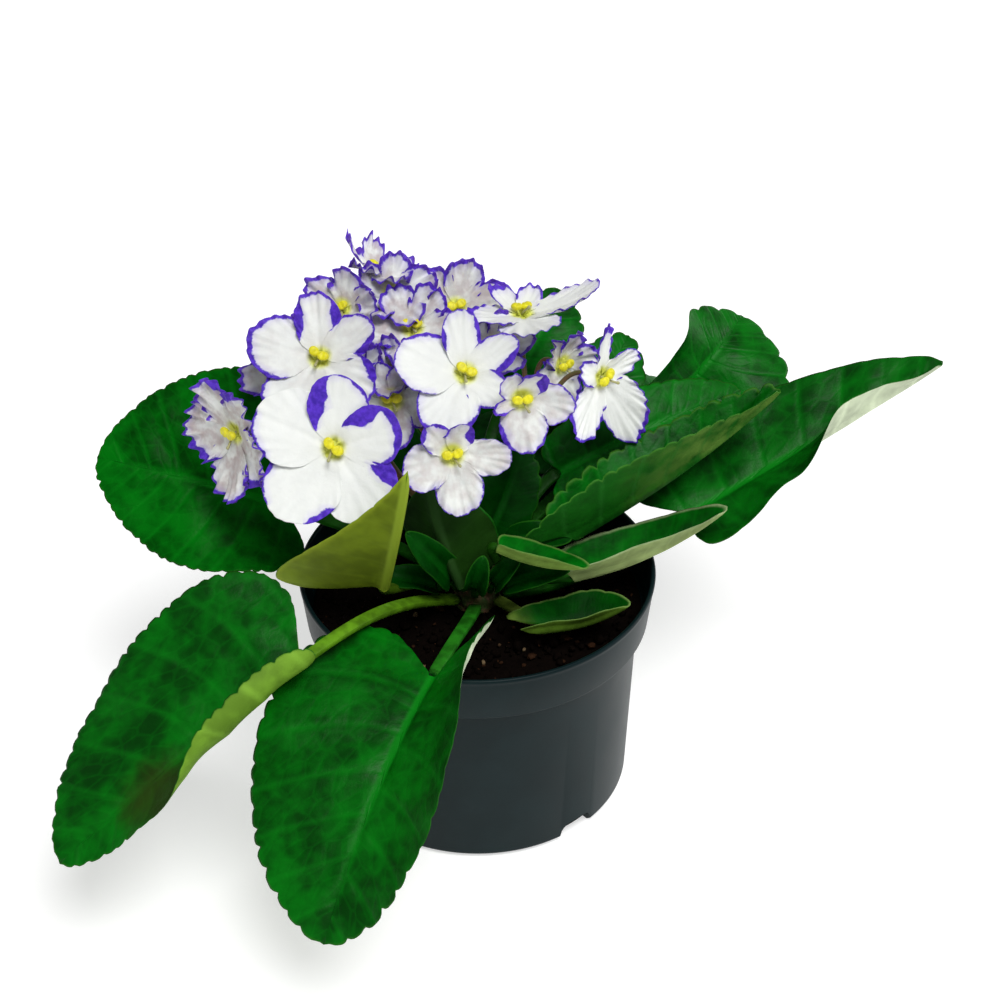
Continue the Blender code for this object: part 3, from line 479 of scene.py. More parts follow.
def teeth(margin, spacing, depth):
    """The margin pushed out into rounded teeth with sharp notches between them."""
    arc = arc_lengths(margin)
    count = max(round(arc[-1] / spacing), 3)
    phase = arc / arc[-1] * count
    phase = phase + 0.1 * sin(2 * pi * phase) + 0.16 * sin(1.9 * phase)
    slope = unit(gradient(margin, arc, axis=0))
    outward = stack([slope[:, 1], -slope[:, 0]], -1)
    fade = ease(0.03, 0.16, arc / arc[-1]) * ease(0, 0.02, 1 - arc / arc[-1])
    fade = fade * (0.75 + 0.35 * sin(1.1 * phase + depth) * sin(0.43 * phase))
    bump = depth * fade * (2 * abs(sin(pi * phase)) ** 0.75 - 1.1)
    return outward * bump[:, None]


def quilting(x, y, length, width, seed):
    """Vein phase, and how high the blade puckers between its veins, on one half."""
    start = y - SLANT_BASE * x - SWEEP * x * x / width
    start = start / (1 + (SLANT_TIP - SLANT_BASE) * x / length)
    flat = stack([x, y], -1)
    phase = VEINS * start / length + 0.07 * ripple(flat / 9, seed) * ease(2, 8, x)
    cell = phase // 1
    rung = x / QUILT_CELL * (60 / length) + 0.37 * cell + 0.12 * ripple(flat / 4, seed + 1)
    dome = abs(sin(pi * phase)) ** 0.8
    small = abs(sin(pi * rung))
    height = QUILT * (0.7 * dome + 0.3 * dome * small - 0.5)
    height = height + FOLD * ripple(stack([phase * 1.7, x / 11], -1), seed + 3)
    height = height + 0.12 * ripple(flat / 3.5, seed + 2)
    return phase, height * ease(0.3, 6, x)


def make_leaf(key, leaf, number):
    blade = Blade(leaf)
    length = blade.length
    fine = linspace(0, 1, 600)
    sides = [outline(leaf, fine, length, right) for right in (0, 1)]
    arc = (arc_lengths(sides[0]) + arc_lengths(sides[1])) / 2
    rows = int(arc[-1] / ROW_PITCH)
    half = int(max(leaf.width) / COLUMN_PITCH) + 4
    shares = interp(linspace(0, arc[-1], rows + 1)[:-1], arc, fine)
    middle = shares**2 * length

    # One ring: from the right margin over the upper side to the left, and back underneath.
    upper = sin(linspace(1, -1, 2 * half + 1) * 0.9) / sin(0.9)
    place = concatenate([upper, upper[-2:0:-1]])
    under = arange(len(place)) > 2 * half
    share_out = abs(place)
    right = (place >= 0)
    look = dict(LEAF_LOOKS.get(key, {} if key in LEAVES else YOUNG_LOOK))
    spacing, depth = look.pop("teeth", TEETH)
    relief = look.get("relief", 1)
    margins = [outline(leaf, shares, length, k)[:, None] for k in (0, 1)]
    offsets = [teeth(margin[:, 0], spacing, depth)[:, None] for margin in margins]
    margin = where(right[..., None], margins[1], margins[0])
    offset = where(right[..., None], offsets[1], offsets[0])
    x = margin[..., 0] * share_out
    y = middle[:, None] + (margin[..., 1] - middle[:, None]) * share_out
    edge = (1 - share_out) * hypot(margin[..., 0], margin[..., 1] - middle[:, None])
    width = where(right, leaf.width[1], leaf.width[0])
    phase, height = quilting(x, y, length, width, 10 * number)
    phase = phase + where(right, 0.35, 0)
    quilt = relief * (length / 85) ** 0.7 * height * (1 - 0.6 * share_out**4)
    x = x + offset[..., 0] * share_out**4
    y = y + offset[..., 1] * share_out**4
    thick = LEAF_THICK * sqrt(1 - share_out**2)
    along = shares[:, None]
    bulk = min(1, max(leaf.width) / 14)
    groove = GROOVE * bulk * (1 - 0.6 * along) * exp(-((x / 1.5) ** 2))
    ridge = bulk * (1.7 * (1 - along) + 0.3) * exp(-((x / 1.7) ** 2))
    lift = where(under, 0.9 * quilt - thick - ridge, quilt + thick - groove)
    rings = blade.at(where(right, x, -x), y, lift)

    azimuth, high = leaf.root
    root = direction(azimuth, 0) * ROOT_RADIUS
    root[2] = high
    first = direction(azimuth, leaf.rise)
    joint, forward, across_joint, _ = (v[0] for v in blade.spine(array([0])))
    gap = norm(joint - root) / 3
    across_root = unit(cross(first, UP))
    count = int(3 * gap / 2.2) + 6
    t = arange(count) / count
    path, slopes = cubic(root, root + first * gap, joint - forward * gap, joint, t)
    across = across_root * (1 - t[:, None]) + across_joint * t[:, None]
    stem = tube(path, slopes, bulk**0.5 * (2.1 - 0.3 * t), len(place), across)
    # A petiole is flattened on top.
    up = cross(unit(across), slopes)
    high = dot(stem - path[:, None], up[:, None])
    stem = stem - maximum(high - 0.9, 0) * 0.8 * up[:, None]

    skin = Skin()
    points, faces = loft(concatenate([stem, rings]), root, blade.end)
    marks = zeros((len(points), 4))
    stems = 1 + stem.shape[0] * len(place)
    marks[:stems] = (STEM_PHASE, 30, 30, 0)
    marks[stems:-1] = stack([phase, x, edge, under + 0 * x], -1).reshape(-1, 4)
    marks[-1] = (VEINS, 0, 0, 0)
    skin.add(points, faces, marks)
    name = "leaf_" + key
    return skin.piece(name, leaf_material(**look), "leaf", *[name] * (key in LEAVES))


# ---- flowers
class Face:
    """A flower's own axes, seen from in front: x right, y up, z forwards."""

    def __init__(self, flower):
        self.centre = array(flower.centre)
        self.out = direction(*flower.face)
        up = unit(UP - UP @ self.out * self.out)
        right = cross(up, self.out)
        a = radians(flower.spin)
        self.right = cos(a) * right + sin(a) * up
        self.up = -sin(a) * right + cos(a) * up

    def at(self, x, y, z):
        x, y, z = (asarray(v)[..., None] for v in (x, y, z))
        return self.centre + x * self.right + y * self.up + z * self.out


PETAL_ROWS, PETAL_COLUMNS = 15, 77
PETAL_BASE, PETAL_THICK = 0.13, 0.36
PETAL_TILT = 0.8  # how far one side of a petal lies over its neighbour


def make_petal(skin, flower, look, face, k, seed):
    size, grow = flower.size, flower.grow[k]
    slim, lift, band = (broadcast_to(look.get(key, usual), 5)[k] for key, usual in PETAL_USUAL)
    middle, distance, radius = PETALS[k]
    distance, radius = distance * grow * size, radius * grow * size
    half = arcsin(radius / distance)
    theta = linspace(-1, 1, PETAL_COLUMNS) * (pi / 2 + half)
    draw = default_rng(seed)
    turns = draw.uniform(0, 2 * pi, 8)
    wavy = 1 + 0.022 * sin(3 * theta + turns[0]) + 0.012 * sin(7 * theta + turns[1])
    scallops = abs(sin(12 * theta + turns[2])) * (0.6 + 0.4 * sin(2 * theta + turns[6]))
    wavy = wavy + (0.014 + 0.012 * look["ruffle"]) * (scallops - 0.4)
    mx = distance + radius * wavy * cos(theta)
    my = radius * wavy * sin(theta)
    reach, angle = hypot(mx, my), arctan2(my, mx)
    v = linspace(0, 1, PETAL_ROWS)
    t = (PETAL_BASE + (1 - PETAL_BASE) * (1 - (1 - v) ** 1.5))[:, None]
    pinch = radians(35) / half
    fan = angle * (pinch + (1 - pinch) * ease(0.12, 0.62, t))
    rho = reach * t
    x, y = rho * cos(fan), rho * sin(fan)
    share = rho / (distance + radius)
    y = y * (1 - (1 - slim) * ease(0.12, 0.55, share))
    arc = radius * theta
    frill = 0.65 * sin(arc / 0.62 + turns[3] + 1.5 * t + 0.8 * sin(arc / 2.3)) * t**5
    ruffle = look["ruffle"] * (
        frill
        + 0.42 * sin(arc / 1.05 + turns[5]) * t**3
        + 0.38 * sin(arc / 2.1 + turns[4]) * t**2
    )
    z = flower.cup * share**2 + flower.bend[k] * share**2 * cos(1.2 * fan) + lift * share**2
    z = z + PETAL_TILT * (y / radius) * ease(0.1, 0.7, share)
    z = z + ruffle * ease(0.25, 0.7, share)
    z = z + 0.25 * sin(4 * fan + turns[1]) * share - 0.5 * exp(-((y / 1.1) ** 2)) * (1 - t)
    z = z - 0.5 * ease(0.3, 0.1, share)
    thick = PETAL_THICK * size**0.5 * (0.3 + 0.7 * sqrt(1 - t**6))
    thick = thick * (1 - 0.6 * abs(theta / theta[-1]) ** 8)

    # How far each point is from the margin, and the nearest place on it.
    flat_x, flat_y = rho * cos(angle) - distance, rho * sin(angle)
    near = arctan2(flat_y, flat_x)
    open_side = abs(near) > pi / 2 + half
    wedge = rho * sin(maximum(half - abs(angle), 0))
    dist = where(open_side, wedge, radius * wavy - hypot(flat_x, flat_y))
    dist = minimum(maximum(dist, 0), (1 - t) * reach)
    bearing = degrees(near)
    width = band * ease(40, 10, abs(bearing) - 90)
    for petal, place, spread, wide in look.get("marks", ()):
        if petal == k:
            width = maximum(width, wide * ease(0, 0.6, 1 - abs(bearing - place) / spread))
    turn = radians(middle)
    px, py = x * cos(turn) - y * sin(turn), x * sin(turn) + y * cos(turn)
    # The fourth number is how much painted shade the flower carries.
    marks = stack([dist, width, rho, 0 * rho + look.get("shade", 0)], -1).reshape(-1, 4)
    skin.add(*shell(face.at(px, py, z), face.at(px, py, z - thick)), concatenate([marks, marks]))


PETAL_USUAL = (("slim", 1), ("lift", 0), ("band", 0))
THROAT = (  # radius, height before the flower
    (0.7, -1.7), (1.6, -1.5), (2.5, -1.05), (3.4, -0.7), (3.2, -1.1), (2.2, -1.9), (1.7, -3), (1.3, -3.4),
)
THROAT_ENDS, THROAT_SIDES = (-1.55, -3.5), 24


def lathe(profile, sides, at, size=1):
    turn = 2 * pi * arange(sides) / sides
    profile = array(profile) * size
    ring = profile[:, :1] * cos(turn), profile[:, :1] * sin(turn)
    return at(*ring, profile[:, 1:] + 0 * turn)


def make_corolla(name, key, flower):
    look = FLOWER_LOOKS.get(key, OTHER_LOOK)
    face = Face(flower)
    skin = Skin()
    for k in range(len(PETALS)):
        make_petal(skin, flower, look, face, k, 100 * int(key) + k)
    size = flower.size
    rings = lathe(THROAT, THROAT_SIDES, face.at, size)
    radii = concatenate([[0], repeat([r for r, _ in THROAT], THROAT_SIDES), [0]]) * 0.6
    marks = radii[:, None] * [0, 0, 1, 0] + [40, 0, 0, 0]
    skin.add(*loft(rings, *(face.at(0, 0, z * size) for z in THROAT_ENDS), flip=True), marks)
    return skin.piece(name, petal_material(), "petal", *[name] * (key in FLOWERS))


def add_thread(skin, points, radii, across, mark, past=0):
    """A thin tube along a cubic curve, ending in a point a little past it."""
    path, slopes = cubic(*points, linspace(0, 1, len(radii)))
    rings = tube(path, slopes, radii, 8, across)
    skin.add(*loft(rings, path[0], path[-1] + slopes[-1] * past), (mark, 0, 0, 0))


FILAMENT = ((0.5, -0.4, -1.2), (1.2, -1, 0.4), (1.5, -0.2, 1.2))
STYLE = ((0, 0.3, -1), (0.4, -1.2, 1.2), (1, -2.6, 2.2), (1.6, -3.2, 3.4))
ANTHER = (1.75, 1.35, 1.25)  # half sizes across, along and out
ANTHER_LEAN = 0.35


def make_stamens(name, flower):
    face, size = Face(flower), 0.85 + 0.2 * flower.size
    skin = Skin()
    turn = linspace(0, pi, 16)[1:-1, None]
    along, girth = cos(turn), sin(turn)
    around = 2 * pi * arange(20) / 20
    groove = 1 - 0.45 * exp(-(((around - pi / 2) / 0.45) ** 2))
    wide, long, deep = ANTHER
    for side in (-1, 1):
        lean = ANTHER_LEAN * side
        ax, ay = wide * (cos(around) * girth * groove), long * along
        x = side * 1.5 + ax * cos(lean) - ay * sin(lean)
        y = 0.4 + ax * sin(lean) + ay * cos(lean)
        z = 1.8 + deep * (sin(around) * girth * groove) + 0.25 * along**2
        rings = face.at(x * size, y * size, z * size)
        skin.add(*loft(rings[::-1], rings[-1].mean(0), rings[0].mean(0)))
        a, b, c = (face.at(side * u * size, v * size, w * size) for u, v, w in FILAMENT)
        add_thread(skin, (a, a * 0.4 + b * 0.6, b, c), full(7, 0.38 * size), face.right, 1)
    points = [face.at(*(array(p) * size)) for p in STYLE]
    add_thread(skin, points, array([0.34] * 8 + [0.5, 0.42]) * size, face.right, 2, past=0.2)
    return skin.piece(name, anther_material(), "anther", name)


# ---- stalks
SEPALS = 5


def make_sepal(skin, face, size, angle, length):
    t = linspace(0, 1, 9)[:, None]
    s = linspace(-1, 1, 7)
    wide = 1.15 * sin(pi * clip(t * 0.85 + 0.15, 0, 1)) ** 0.8 * s
    far = 0.9 + length * t + 0 * s
    z = -3.4 + 0.9 * t**2 - 0.5 * s * s * (1 - t) + 0 * s
    a = radians(angle)
    x, y = far * cos(a) - wide * sin(a), far * sin(a) + wide * cos(a)
    x, y = x * size, y * size
    skin.add(*shell(face.at(x, y, z * size), face.at(x, y, (z - 0.35) * size)), (1, 0, 0, 0))


def make_stalk(name, stalk):
    azimuth, height = stalk.root
    root = direction(azimuth, 0) * (ROOT_RADIUS - 1)
    root[2] = height
    fork = array(stalk.fork)
    first = direction(azimuth, stalk.rise)
    gap = norm(fork - root) / 3
    spread = sum(array(FLOWERS[key].centre) - fork for key in stalk.carries)
    last = unit(unit(spread) + UP)
    skin = Skin()
    t = linspace(0, 1, 26)
    path, slopes = cubic(root, root + first * gap, fork - last * gap, fork, t)
    across = unit(cross(first, [0.3, 1, 0.2]))
    radii = 1.35 - 0.15 * t + 0.35 * ease(0.9, 1, t) + 0.05 * sin(9 * t)
    skin.add(*loft(tube(path, slopes, radii, 12, across), root, fork + last * 1.2))
    for key in stalk.carries:
        flower = FLOWERS[key]
        face, size = Face(flower), flower.size
        back = face.at(0, 0, -8 * size)
        span = norm(back - fork) / 3
        way = unit(back - fork)
        bends = fork + unit(way + 0.6 * last) * span, back - face.out * span
        path, slopes = cubic(fork, *bends, back, linspace(0, 1, 20))
        neck = face.at(0, 0, linspace(-7.4, -3, 7) * size)
        path = concatenate([path, neck])
        slopes = concatenate([slopes, broadcast_to(face.out, neck.shape)])
        radii = concatenate([full(20, 0.78), array([0.8, 0.95, 1.3, 1.75, 2, 2, 1.7]) * size])
        rings = tube(path, slopes, radii, 10, face.right)
        calyx = repeat([0, 1], [1 + 20 * 10, 7 * 10 + 1])[:, None]
        skin.add(*loft(rings, fork, face.at(0, 0, -2.9 * size)), calyx * [1, 0, 0, 0])
        for n in range(SEPALS):
            make_sepal(skin, face, size**0.5, 90 + 72 * n + 36, 3.4)
    return skin.piece(name, stem_material(), "stem", name)


# ---- pot, soil, crown
def upright(x, y, z):
    """The world's own axes, for lathed pieces that stand on the floor."""
    return stack(broadcast_arrays(x, y, z), -1)


def rounded(profile, radius=0.5):
    """The profile with its corners rounded off."""
    profile = array(profile)
    result = [profile[0]]
    for before, corner, after in zip(profile, profile[1:], profile[2:]):
        ways = before - corner, after - corner
        a, b = (corner + unit(way) * min(radius, norm(way) * 0.45) for way in ways)
        result += [(1 - t) ** 2 * a + 2 * t * (1 - t) * corner + t * t * b for t in (0, 0.5, 1)]
    return [*result, profile[-1]]


def make_pot():
    skin = Skin()
    rings = lathe(rounded(POT_PROFILE), POT_SIDES, upright)
    skin.add(*loft(rings, (0, 0, 0), (0, 0, POT_FLOOR), flip=True))
    pot = skin.piece("pot", pot_material(), "pot_plastic", "pot")
    for azimuth in DRAIN_AZIMUTHS:
        out = direction(azimuth, 0)
        side = array([-out[1], out[0], 0])
        turn = linspace(0, pi, 13)
        wide, high = DRAIN_SIZE
        arch_x = wide * sign(cos(turn)) * abs(cos(turn)) ** 0.6
        arch_z = high * sin(turn) ** 0.6
        arch_x = concatenate([[wide], arch_x, [-wide]])
        arch_z = concatenate([[-1], arch_z, [-1]])
        rings = [out * r + side * arch_x[:, None] + UP * arch_z[:, None] for r in DRAIN_REACH]
        ends = [out * reach + DRAIN_HEART * UP for reach in DRAIN_REACH]
        cut = pot.modifiers.new("drain", "BOOLEAN")
        cut.operation, cut.solver = "DIFFERENCE", "EXACT"
        cut.object = put_mesh("drain", *loft(rings, *ends, flip=True))
    bpy.context.view_layer.update()
    graph = bpy.context.evaluated_depsgraph_get()
    mesh = bpy.data.meshes.new_from_object(pot.evaluated_get(graph))
    cutters = [modifier.object for modifier in pot.modifiers]
    pot.modifiers.clear()
    pot.data = mesh
    for cutter in cutters:
        bpy.data.objects.remove(cutter, do_unlink=True)
    mesh.shade_smooth()
    mesh.set_sharp_from_angle(angle=radians(50))
    return pot


SOIL_FOOT, SOIL_TOP = 2.6, 64
CRUMBS = 1100


def make_soil():
    draw = default_rng(7)
    skin = Skin()
    turn = 2 * pi * arange(150) / 150
    radii = concatenate([[45.7, 48.1, 51.2], linspace(51, 1, 46)])
    heights = concatenate([[SOIL_FOOT, 60.7, 62.9], full(46, SOIL_TOP)])
    x, y = radii[:, None] * cos(turn), radii[:, None] * sin(turn)
    flat = stack([x, y], -1)
    lumps = 0.9 * ripple(flat / 6, 1, 5) + 0.7 * ripple(flat / 2.2, 2, 6) + 0.45 * ripple(flat, 3, 6)
    lumps = lumps * (arange(len(radii)) > 2)[:, None]
    rings = stack([x, y, heights[:, None] + lumps], -1)
    skin.add(*loft(rings, (0, 0, SOIL_FOOT), (0, 0, SOIL_TOP), flip=True), (0.5, 0, 0, 0))
    for _ in range(CRUMBS):
        place = sqrt(draw.uniform(0.02, 0.97)) * 50.5
        angle = draw.uniform(0, 2 * pi)
        size = draw.uniform(0.5, 1.5) * draw.choice([0.7, 1, 1.6], p=[0.5, 0.35, 0.15])
        stretch = array([size, size * draw.uniform(0.5, 1), size * draw.uniform(0.35, 0.8)])
        rings = []
        for level in (-0.6, 0.6):
            turn = 2 * pi * (arange(6) + draw.uniform(0, 1)) / 6
            rings.append(stack([0.85 * cos(turn), 0.85 * sin(turn), 0 * turn + level], -1))
        crumb, faces = loft(rings, (0, 0, -1), (0, 0, 1), flip=True)
        crumb = (crumb + draw.normal(0, 0.13, crumb.shape)) * stretch
        a, b = draw.uniform(0, 2 * pi), draw.uniform(-0.7, 0.7)
        spin = array([[cos(a), -sin(a), 0], [sin(a), cos(a), 0], [0, 0, 1]])
        tip = array([[1, 0, 0], [0, cos(b), -sin(b)], [0, sin(b), cos(b)]])
        crumb = crumb @ tip.T @ spin.T + [place * cos(angle), place * sin(angle), 64.3 + size * 0.35]
        skin.add(crumb, faces, (draw.uniform(0, 1), 0, 0, 0))
    return skin.piece("potting_soil", soil_material(), "soil", "potting_soil")


CROWN = ((6.6, 64.4), (7, 66.5), (6.2, 72), (5.4, 79), (4, 84.5))
CROWN_TOP = 86.5


def make_crown():
    profile = catmull(CROWN, linspace(0, 1, 40))
    rings = lathe(profile, 48, upright)
    turn = 2 * pi * arange(48) / 48
    bump = 1 + 0.09 * sin(5 * turn[None] + 0.6 * profile[:, 1:]) * sin(0.9 * profile[:, 1:])
    bump = bump + 0.03 * ripple(rings / 1.2, 5)
    rings[..., :2] *= bump[..., None]
    skin = Skin()
    skin.add(*loft(rings, (0, 0, CROWN[0][1]), (0, 0, CROWN_TOP), flip=True))
    return skin.piece("crown", crown_material(), "stem", "crown")


# ---- materials
class Paint:
    """A node material being put together: each call adds a node and returns its output."""

    def __init__(self, name, roughness, **fixed):
        self.material = bpy.data.materials.new(name)
        self.material.use_nodes = True
        self.tree = self.material.node_tree
        self.shader = self.tree.nodes["Principled BSDF"]
        self.shader.inputs["Roughness"].default_value = roughness
        for key, value in fixed.items():
            self.shader.inputs[key.replace("_", " ")].default_value = value

    def link(self, value, socket):
        if isinstance(value, bpy.types.NodeSocket):
            self.tree.links.new(value, socket)
        elif value is not None:
            socket.default_value = value

    def node(self, kind, inputs, **settings):
        made = self.tree.nodes.new("ShaderNode" + kind)
        for key, value in settings.items():
            setattr(made, key, value)
        for key, value in inputs.items():
            self.link(value, made.inputs[key])
        return made

    def marks(self):
        """The four numbers that the mesh carries at each point."""
        given = self.node("Attribute", {}, attribute_name="marks")
        parts = self.node("SeparateColor", {0: given.outputs["Color"]})
        return (*parts.outputs, given.outputs["Alpha"])

    def place(self):
        return self.node("TexCoord", {}).outputs["Object"]

    def maths(self, operation, a, b):
        return self.node("Math", {0: a, 1: b}, operation=operation).outputs[0]

    def times(self, a, b):
        return self.maths("MULTIPLY", a, b)

    def plus(self, a, b):
        return self.maths("ADD", a, b)

    def ease(self, low, high, value):
        """0 at low, 1 at high, smooth between; low may be the larger."""
        inputs = {"Value": value, "From Min": low, "From Max": high}
        return self.node("MapRange", inputs, interpolation_type="SMOOTHSTEP").outputs["Result"]

    def mix(self, factor, a, b):
        made = self.node("Mix", {0: factor}, data_type="RGBA")
        for value, socket in ((a, made.inputs[6]), (b, made.inputs[7])):
            self.link((*value, 1) if isinstance(value, tuple) else value, socket)
        return made.outputs[2]

    def noise(self, size, detail=3, roughness=0.55):
        """Noise from 0 to 1, its features this many millimetres across."""
        inputs = {"Vector": self.place(), "Scale": 1000 / size, "Detail": detail, "Roughness": roughness}
        return self.node("TexNoise", inputs).outputs[0]

    def mottle(self, size, low, high, a, b):
        return self.mix(self.ease(low, high, self.noise(size)), a, b)

    def cells(self, size, feature="F1", vector=None, scale=1000):
        inputs = {"Vector": vector or self.place(), "Scale": scale / size}
        return self.node("TexVoronoi", inputs, feature=feature).outputs["Distance"]

    def bump(self, height, depth, under=None):
        """Fine relief, this many millimetres deep."""
        inputs = {"Height": height, "Distance": depth * MM, "Normal": under}
        return self.node("Bump", inputs).outputs[0]

    def done(self, colour, normal, roughness=None):
        self.link(colour, self.shader.inputs["Base Color"])
        self.link(normal, self.shader.inputs["Normal"])
        if roughness is not None:
            self.link(roughness, self.shader.inputs["Roughness"])
        return self.material


@cache
def leaf_material(
    under=UNDER_GREEN, upper=GREEN, lighter=GREEN_LIGHT, stem=(0.01, 0.1, 0.004), rim=(0.02, 0.13, 0.008),
    rim_highlight_width=0.7, under_tip=None, relief=1, stain=None, shine=0.09,
):
    """under_tip: the underside's colour at the tip; stain: the middle of a brownish patch; rim: a painted
    highlight along the margin.
    """
    vein = tuple(1.6 * c + 0.002 for c in lighter)
    p = Paint("leaf", 0.42, Specular_IOR_Level=shine)
    phase, x, edge, kind = p.marks()
    beneath = p.ease(0.4, 0.9, kind)
    is_stem = p.ease(0.2 * STEM_PHASE, 0.6 * STEM_PHASE, phase)
    off_vein = p.times(p.maths("PINGPONG", phase, 0.5), 11)
    off_vein = p.plus(off_vein, p.times(p.noise(2.5), 1.2))
    side_vein = p.ease(1.9, 0.6, off_vein)
    # The midrib turns paler: partly its own paler green, partly a painted highlight along its channel.
    midrib = p.times(p.ease(1.8, 0.5, x), p.ease(7, 0.5, phase))
    flat = p.node("CombineXYZ", {0: p.times(phase, 11), 1: x}).outputs[0]
    net = p.cells(4.6, "DISTANCE_TO_EDGE", flat, 1)
    net_line = p.ease(0.1, 0.02, net)
    tone = p.plus(p.times(p.noise(20), 0.7), p.times(p.noise(5), 0.3))
    blade = p.mix(p.ease(0.32, 0.68, tone), upper, lighter)
    blade = p.mix(p.times(net_line, 0.1 * relief), blade, vein)
    line = p.maths("MAXIMUM", p.times(side_vein, 0.22 * relief), p.times(midrib, 0.75))
    blade = p.mix(line, blade, vein)
    if stain:
        centre = tuple(c * MM for c in stain)
        away = p.node("VectorMath", {0: p.place(), 1: centre}, operation="DISTANCE").outputs["Value"]
        away = p.plus(away, p.times(p.noise(9), 12 * MM))
        patch = p.times(p.ease(24 * MM, 12 * MM, away), 0.75)
        blade = p.mix(patch, blade, (0.022, 0.03, 0.004))
    low_dark = tuple(c * 0.62 for c in under)
    low_pale = tuple(min(1, c * 1.35 + 0.01) for c in under)
    low = p.mix(p.ease(0.35, 0.65, tone), low_dark, under)
    if under_tip:
        streak = p.times(p.ease(0.3, 0.7, p.noise(9)), p.ease(1, 4.5, phase))
        low = p.mix(streak, low, under_tip)
    low = p.mix(p.times(side_vein, 0.35 * relief), low, low_pale)
    low = p.mix(p.ease(1.9, 0.7, x), low, low_pale)
    colour = p.mix(beneath, blade, low)
    # Painted highlight: the margin turns paler, to the rim colour.
    wide = p.plus(edge, p.times(p.noise(4), 0.8 * rim_highlight_width))
    colour = p.mix(p.times(p.ease(1.5 * rim_highlight_width, 0.3, wide), 0.7), colour, rim)
    # The petioles' usual dark green, and the darker one of small_inner, is painted shade under the rosette.
    stalk = p.mottle(6, 0.3, 0.7, tuple(c * 0.45 for c in stem), stem)
    colour = p.mix(is_stem, colour, stalk)
    fine = p.bump(p.noise(0.8, detail=2), 0.07)
    fine = p.bump(p.ease(0, 0.25, net), 0.06 * relief, fine)
    fine = p.bump(p.maths("SUBTRACT", 1, side_vein), 0.12 * relief**2, fine)
    rough = p.plus(0.32, p.times(p.noise(9), 0.2))
    rough = p.plus(rough, p.times(p.maths("MINIMUM", kind, 1), 0.25))
    return p.done(colour, fine, rough)


# The grey and the beige here are painted shade on the white petals.
PETAL_WHITE, PETAL_SHADE_GREY, PETAL_SHADE_BEIGE = (0.84, 0.86, 0.83), (0.64, 0.66, 0.65), (0.46, 0.385, 0.38)
VIOLET, VIOLET_DEEP, LILAC = (0.105, 0.032, 0.6), (0.045, 0.012, 0.36), (0.46, 0.38, 0.78)


@cache
def petal_material():
    p = Paint(
        "petal", 0.55, Specular_IOR_Level=0.25, Subsurface_Weight=0.12, Subsurface_Radius=(1, 1, 1.2),
        Subsurface_Scale=0.0015,
    )
    edge, band, radius, shade = p.marks()
    wander = p.maths("SUBTRACT", p.noise(2.6, detail=4, roughness=0.65), 0.5)
    inside = p.maths("SUBTRACT", edge, band)
    inside = p.plus(inside, p.times(wander, 2.2))
    has_band = p.ease(0.02, 0.25, band)
    purple = p.times(p.ease(0.3, -0.22, inside), has_band)
    halo = p.times(p.ease(2.6, -0.2, inside), has_band)
    # Soft grey patches over the white: painted shade.
    soft = p.noise(7)
    white = p.mix(p.times(p.ease(0.35, 0.9, soft), 0.35), PETAL_WHITE, PETAL_SHADE_GREY)
    beige = p.mottle(3.5, 0.35, 0.75, PETAL_SHADE_BEIGE, PETAL_SHADE_GREY)
    # Painted shade: grey-beige over the petals, as much as the flower's shade number asks.
    painted_shade = p.times(shade, p.ease(0.34, 0.6, p.noise(6.5)))
    white = p.mix(painted_shade, white, beige)
    colour = p.mix(p.times(halo, 0.35), white, LILAC)
    violet = p.mottle(1.6, 0.3, 0.7, VIOLET, VIOLET_DEEP)
    colour = p.mix(purple, colour, violet)
    heart = p.ease(4.4, 2.2, radius)
    colour = p.mix(heart, colour, (0.8, 0.84, 0.16))
    fine = p.bump(p.cells(0.35), 0.03)
    fine = p.bump(p.noise(3, detail=2), 0.22, fine)
    return p.done(colour, fine)


@cache
def anther_material():
    p = Paint("anther", 0.5, Sheen_Weight=0.1)
    part = p.marks()[0]
    tone = p.noise(1.2)
    pollen = p.mix(p.ease(0.3, 0.7, tone), (0.86, 0.8, 0.006), (0.66, 0.6, 0.004))
    thread = p.mix(tone, (0.62, 0.64, 0.08), (0.4, 0.45, 0.06))
    style = p.mix(tone, (0.45, 0.48, 0.16), (0.36, 0.3, 0.2))
    colour = p.mix(p.ease(0.4, 0.6, part), pollen, thread)
    colour = p.mix(p.ease(1.4, 1.6, part), colour, style)
    return p.done(colour, p.bump(p.noise(0.35), 0.08))


@cache
def stem_material():
    p = Paint("flower stem", 0.55, Sheen_Weight=0.25, Sheen_Roughness=0.4)
    part = p.marks()[0]
    tone = p.noise(4)
    stem = p.mix(p.ease(0.3, 0.7, tone), (0.15, 0.065, 0.028), (0.09, 0.1, 0.02))
    sepal = p.mix(p.ease(0.3, 0.7, tone), (0.1, 0.16, 0.035), (0.16, 0.12, 0.06))
    colour = p.mix(part, stem, sepal)
    return p.done(colour, p.bump(p.noise(0.5), 0.12))


@cache
def crown_material():
    p = Paint("crown", 0.75)
    colour = p.mottle(2.5, 0.4, 0.7, (0.03, 0.06, 0.006), (0.1, 0.045, 0.02))
    return p.done(colour, p.bump(p.noise(1), 0.4))


@cache
def soil_material():
    p = Paint("soil", 0.95, Specular_IOR_Level=0.02)
    crumb = p.marks()[0]
    dark = p.mix(p.noise(1.5), (0.001, 0.0007, 0.0006), (0.006, 0.0035, 0.0025))
    brown = p.mix(p.noise(0.8), (0.014, 0.006, 0.003), (0.045, 0.02, 0.01))
    colour = p.mix(p.ease(0.84, 0.88, crumb), dark, brown)
    colour = p.mix(p.ease(0.975, 0.982, crumb), colour, (0.16, 0.11, 0.06))
    fine = p.bump(p.noise(0.7, detail=5), 0.5)
    return p.done(colour, fine)


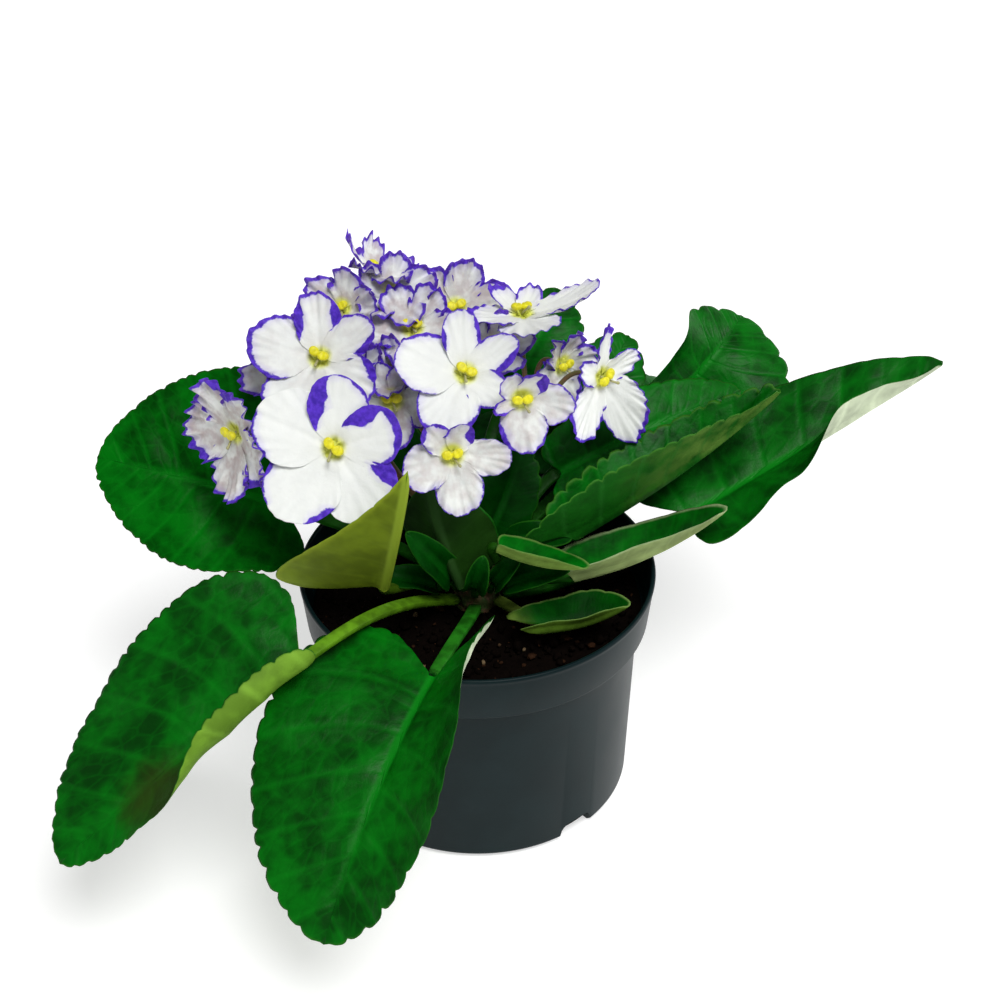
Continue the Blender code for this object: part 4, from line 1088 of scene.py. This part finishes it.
@cache
def pot_material():
    p = Paint("pot plastic", 0.4, Specular_IOR_Level=0.11)
    scuff = p.noise(22, detail=4)
    colour = p.mix(p.ease(0.35, 0.75, scuff), (0.001, 0.0085, 0.01), (0.004, 0.014, 0.016))
    grain = p.bump(p.noise(0.5, detail=2), 0.02)
    wavy = p.bump(p.noise(30, detail=1), 0.35, grain)
    rough = p.plus(0.34, p.times(scuff, 0.16))
    return p.done(colour, wavy, rough)


# ---- the studio
FLOOR_HALF = 4000
CAMERA_PLACE, CAMERA_AIM, CAMERA_LENS = (0, -0.548, 0.496), (0.007, 0, 0.103), 80.3


def make_stage():
    x = FLOOR_HALF
    floor = put_mesh("floor", [(-x, -x, 0), (x, -x, 0), (x, x, 0), (-x, x, 0)], [(0, 1, 2, 3)])
    p = Paint("floor", 0.9, Specular_IOR_Level=0, Emission_Strength=0.55, Emission_Color=WHITE)
    colour = p.mix(p.noise(900), (0.6, 0.6, 0.6), (0.62, 0.62, 0.62))
    floor.data.materials.append(p.done(colour, None))


def make_light(name, kind, place, aim, energy, **settings):
    data = bpy.data.lights.new(name, kind)
    data.energy = energy
    for key, value in settings.items():
        setattr(data, key, value)
    point_at(put(name, data), place, aim)


def point_at(obj, place, aim):
    place, aim = Vector(place), Vector(aim)
    obj.location = place
    obj.rotation_euler = (aim - place).to_track_quat("-Z", "Y").to_euler()


def make_camera():
    data = bpy.data.cameras.new("camera")
    data.lens = CAMERA_LENS
    data.clip_start = 0.05
    SCENE.camera = put("camera", data)
    point_at(SCENE.camera, CAMERA_PLACE, CAMERA_AIM)


def make_world():
    SCENE.world = bpy.data.worlds.new("world")
    SCENE.world.use_nodes = True
    background = SCENE.world.node_tree.nodes["Background"]
    background.inputs["Color"].default_value = WHITE
    background.inputs["Strength"].default_value = 0.25


make_camera()
make_world()
make_stage()
make_light("sun", "SUN", direction(25, 62), (0, 0, 0), 2.6, angle=radians(28))
make_light("rim", "AREA", (0.9, 0.25, 0.35), (0, 0, 0.06), 2.5, shape="DISK", size=0.4)
SCENE.view_settings.view_transform = "Standard"

make_pot()
make_soil()
make_crown()
for number, (key, leaf) in enumerate((LEAVES | YOUNG).items()):
    make_leaf(key, leaf, number)
for key, stalk in STALKS.items():
    make_stalk("flower_stalk_" + key, stalk)
for key, flower in FLOWERS.items():
    make_corolla("corolla_" + key, key, flower)
    make_stamens("stamens_" + key, flower)
for key, flower in BUDS.items():
    make_corolla("half_open_flower_" + key, key, flower)
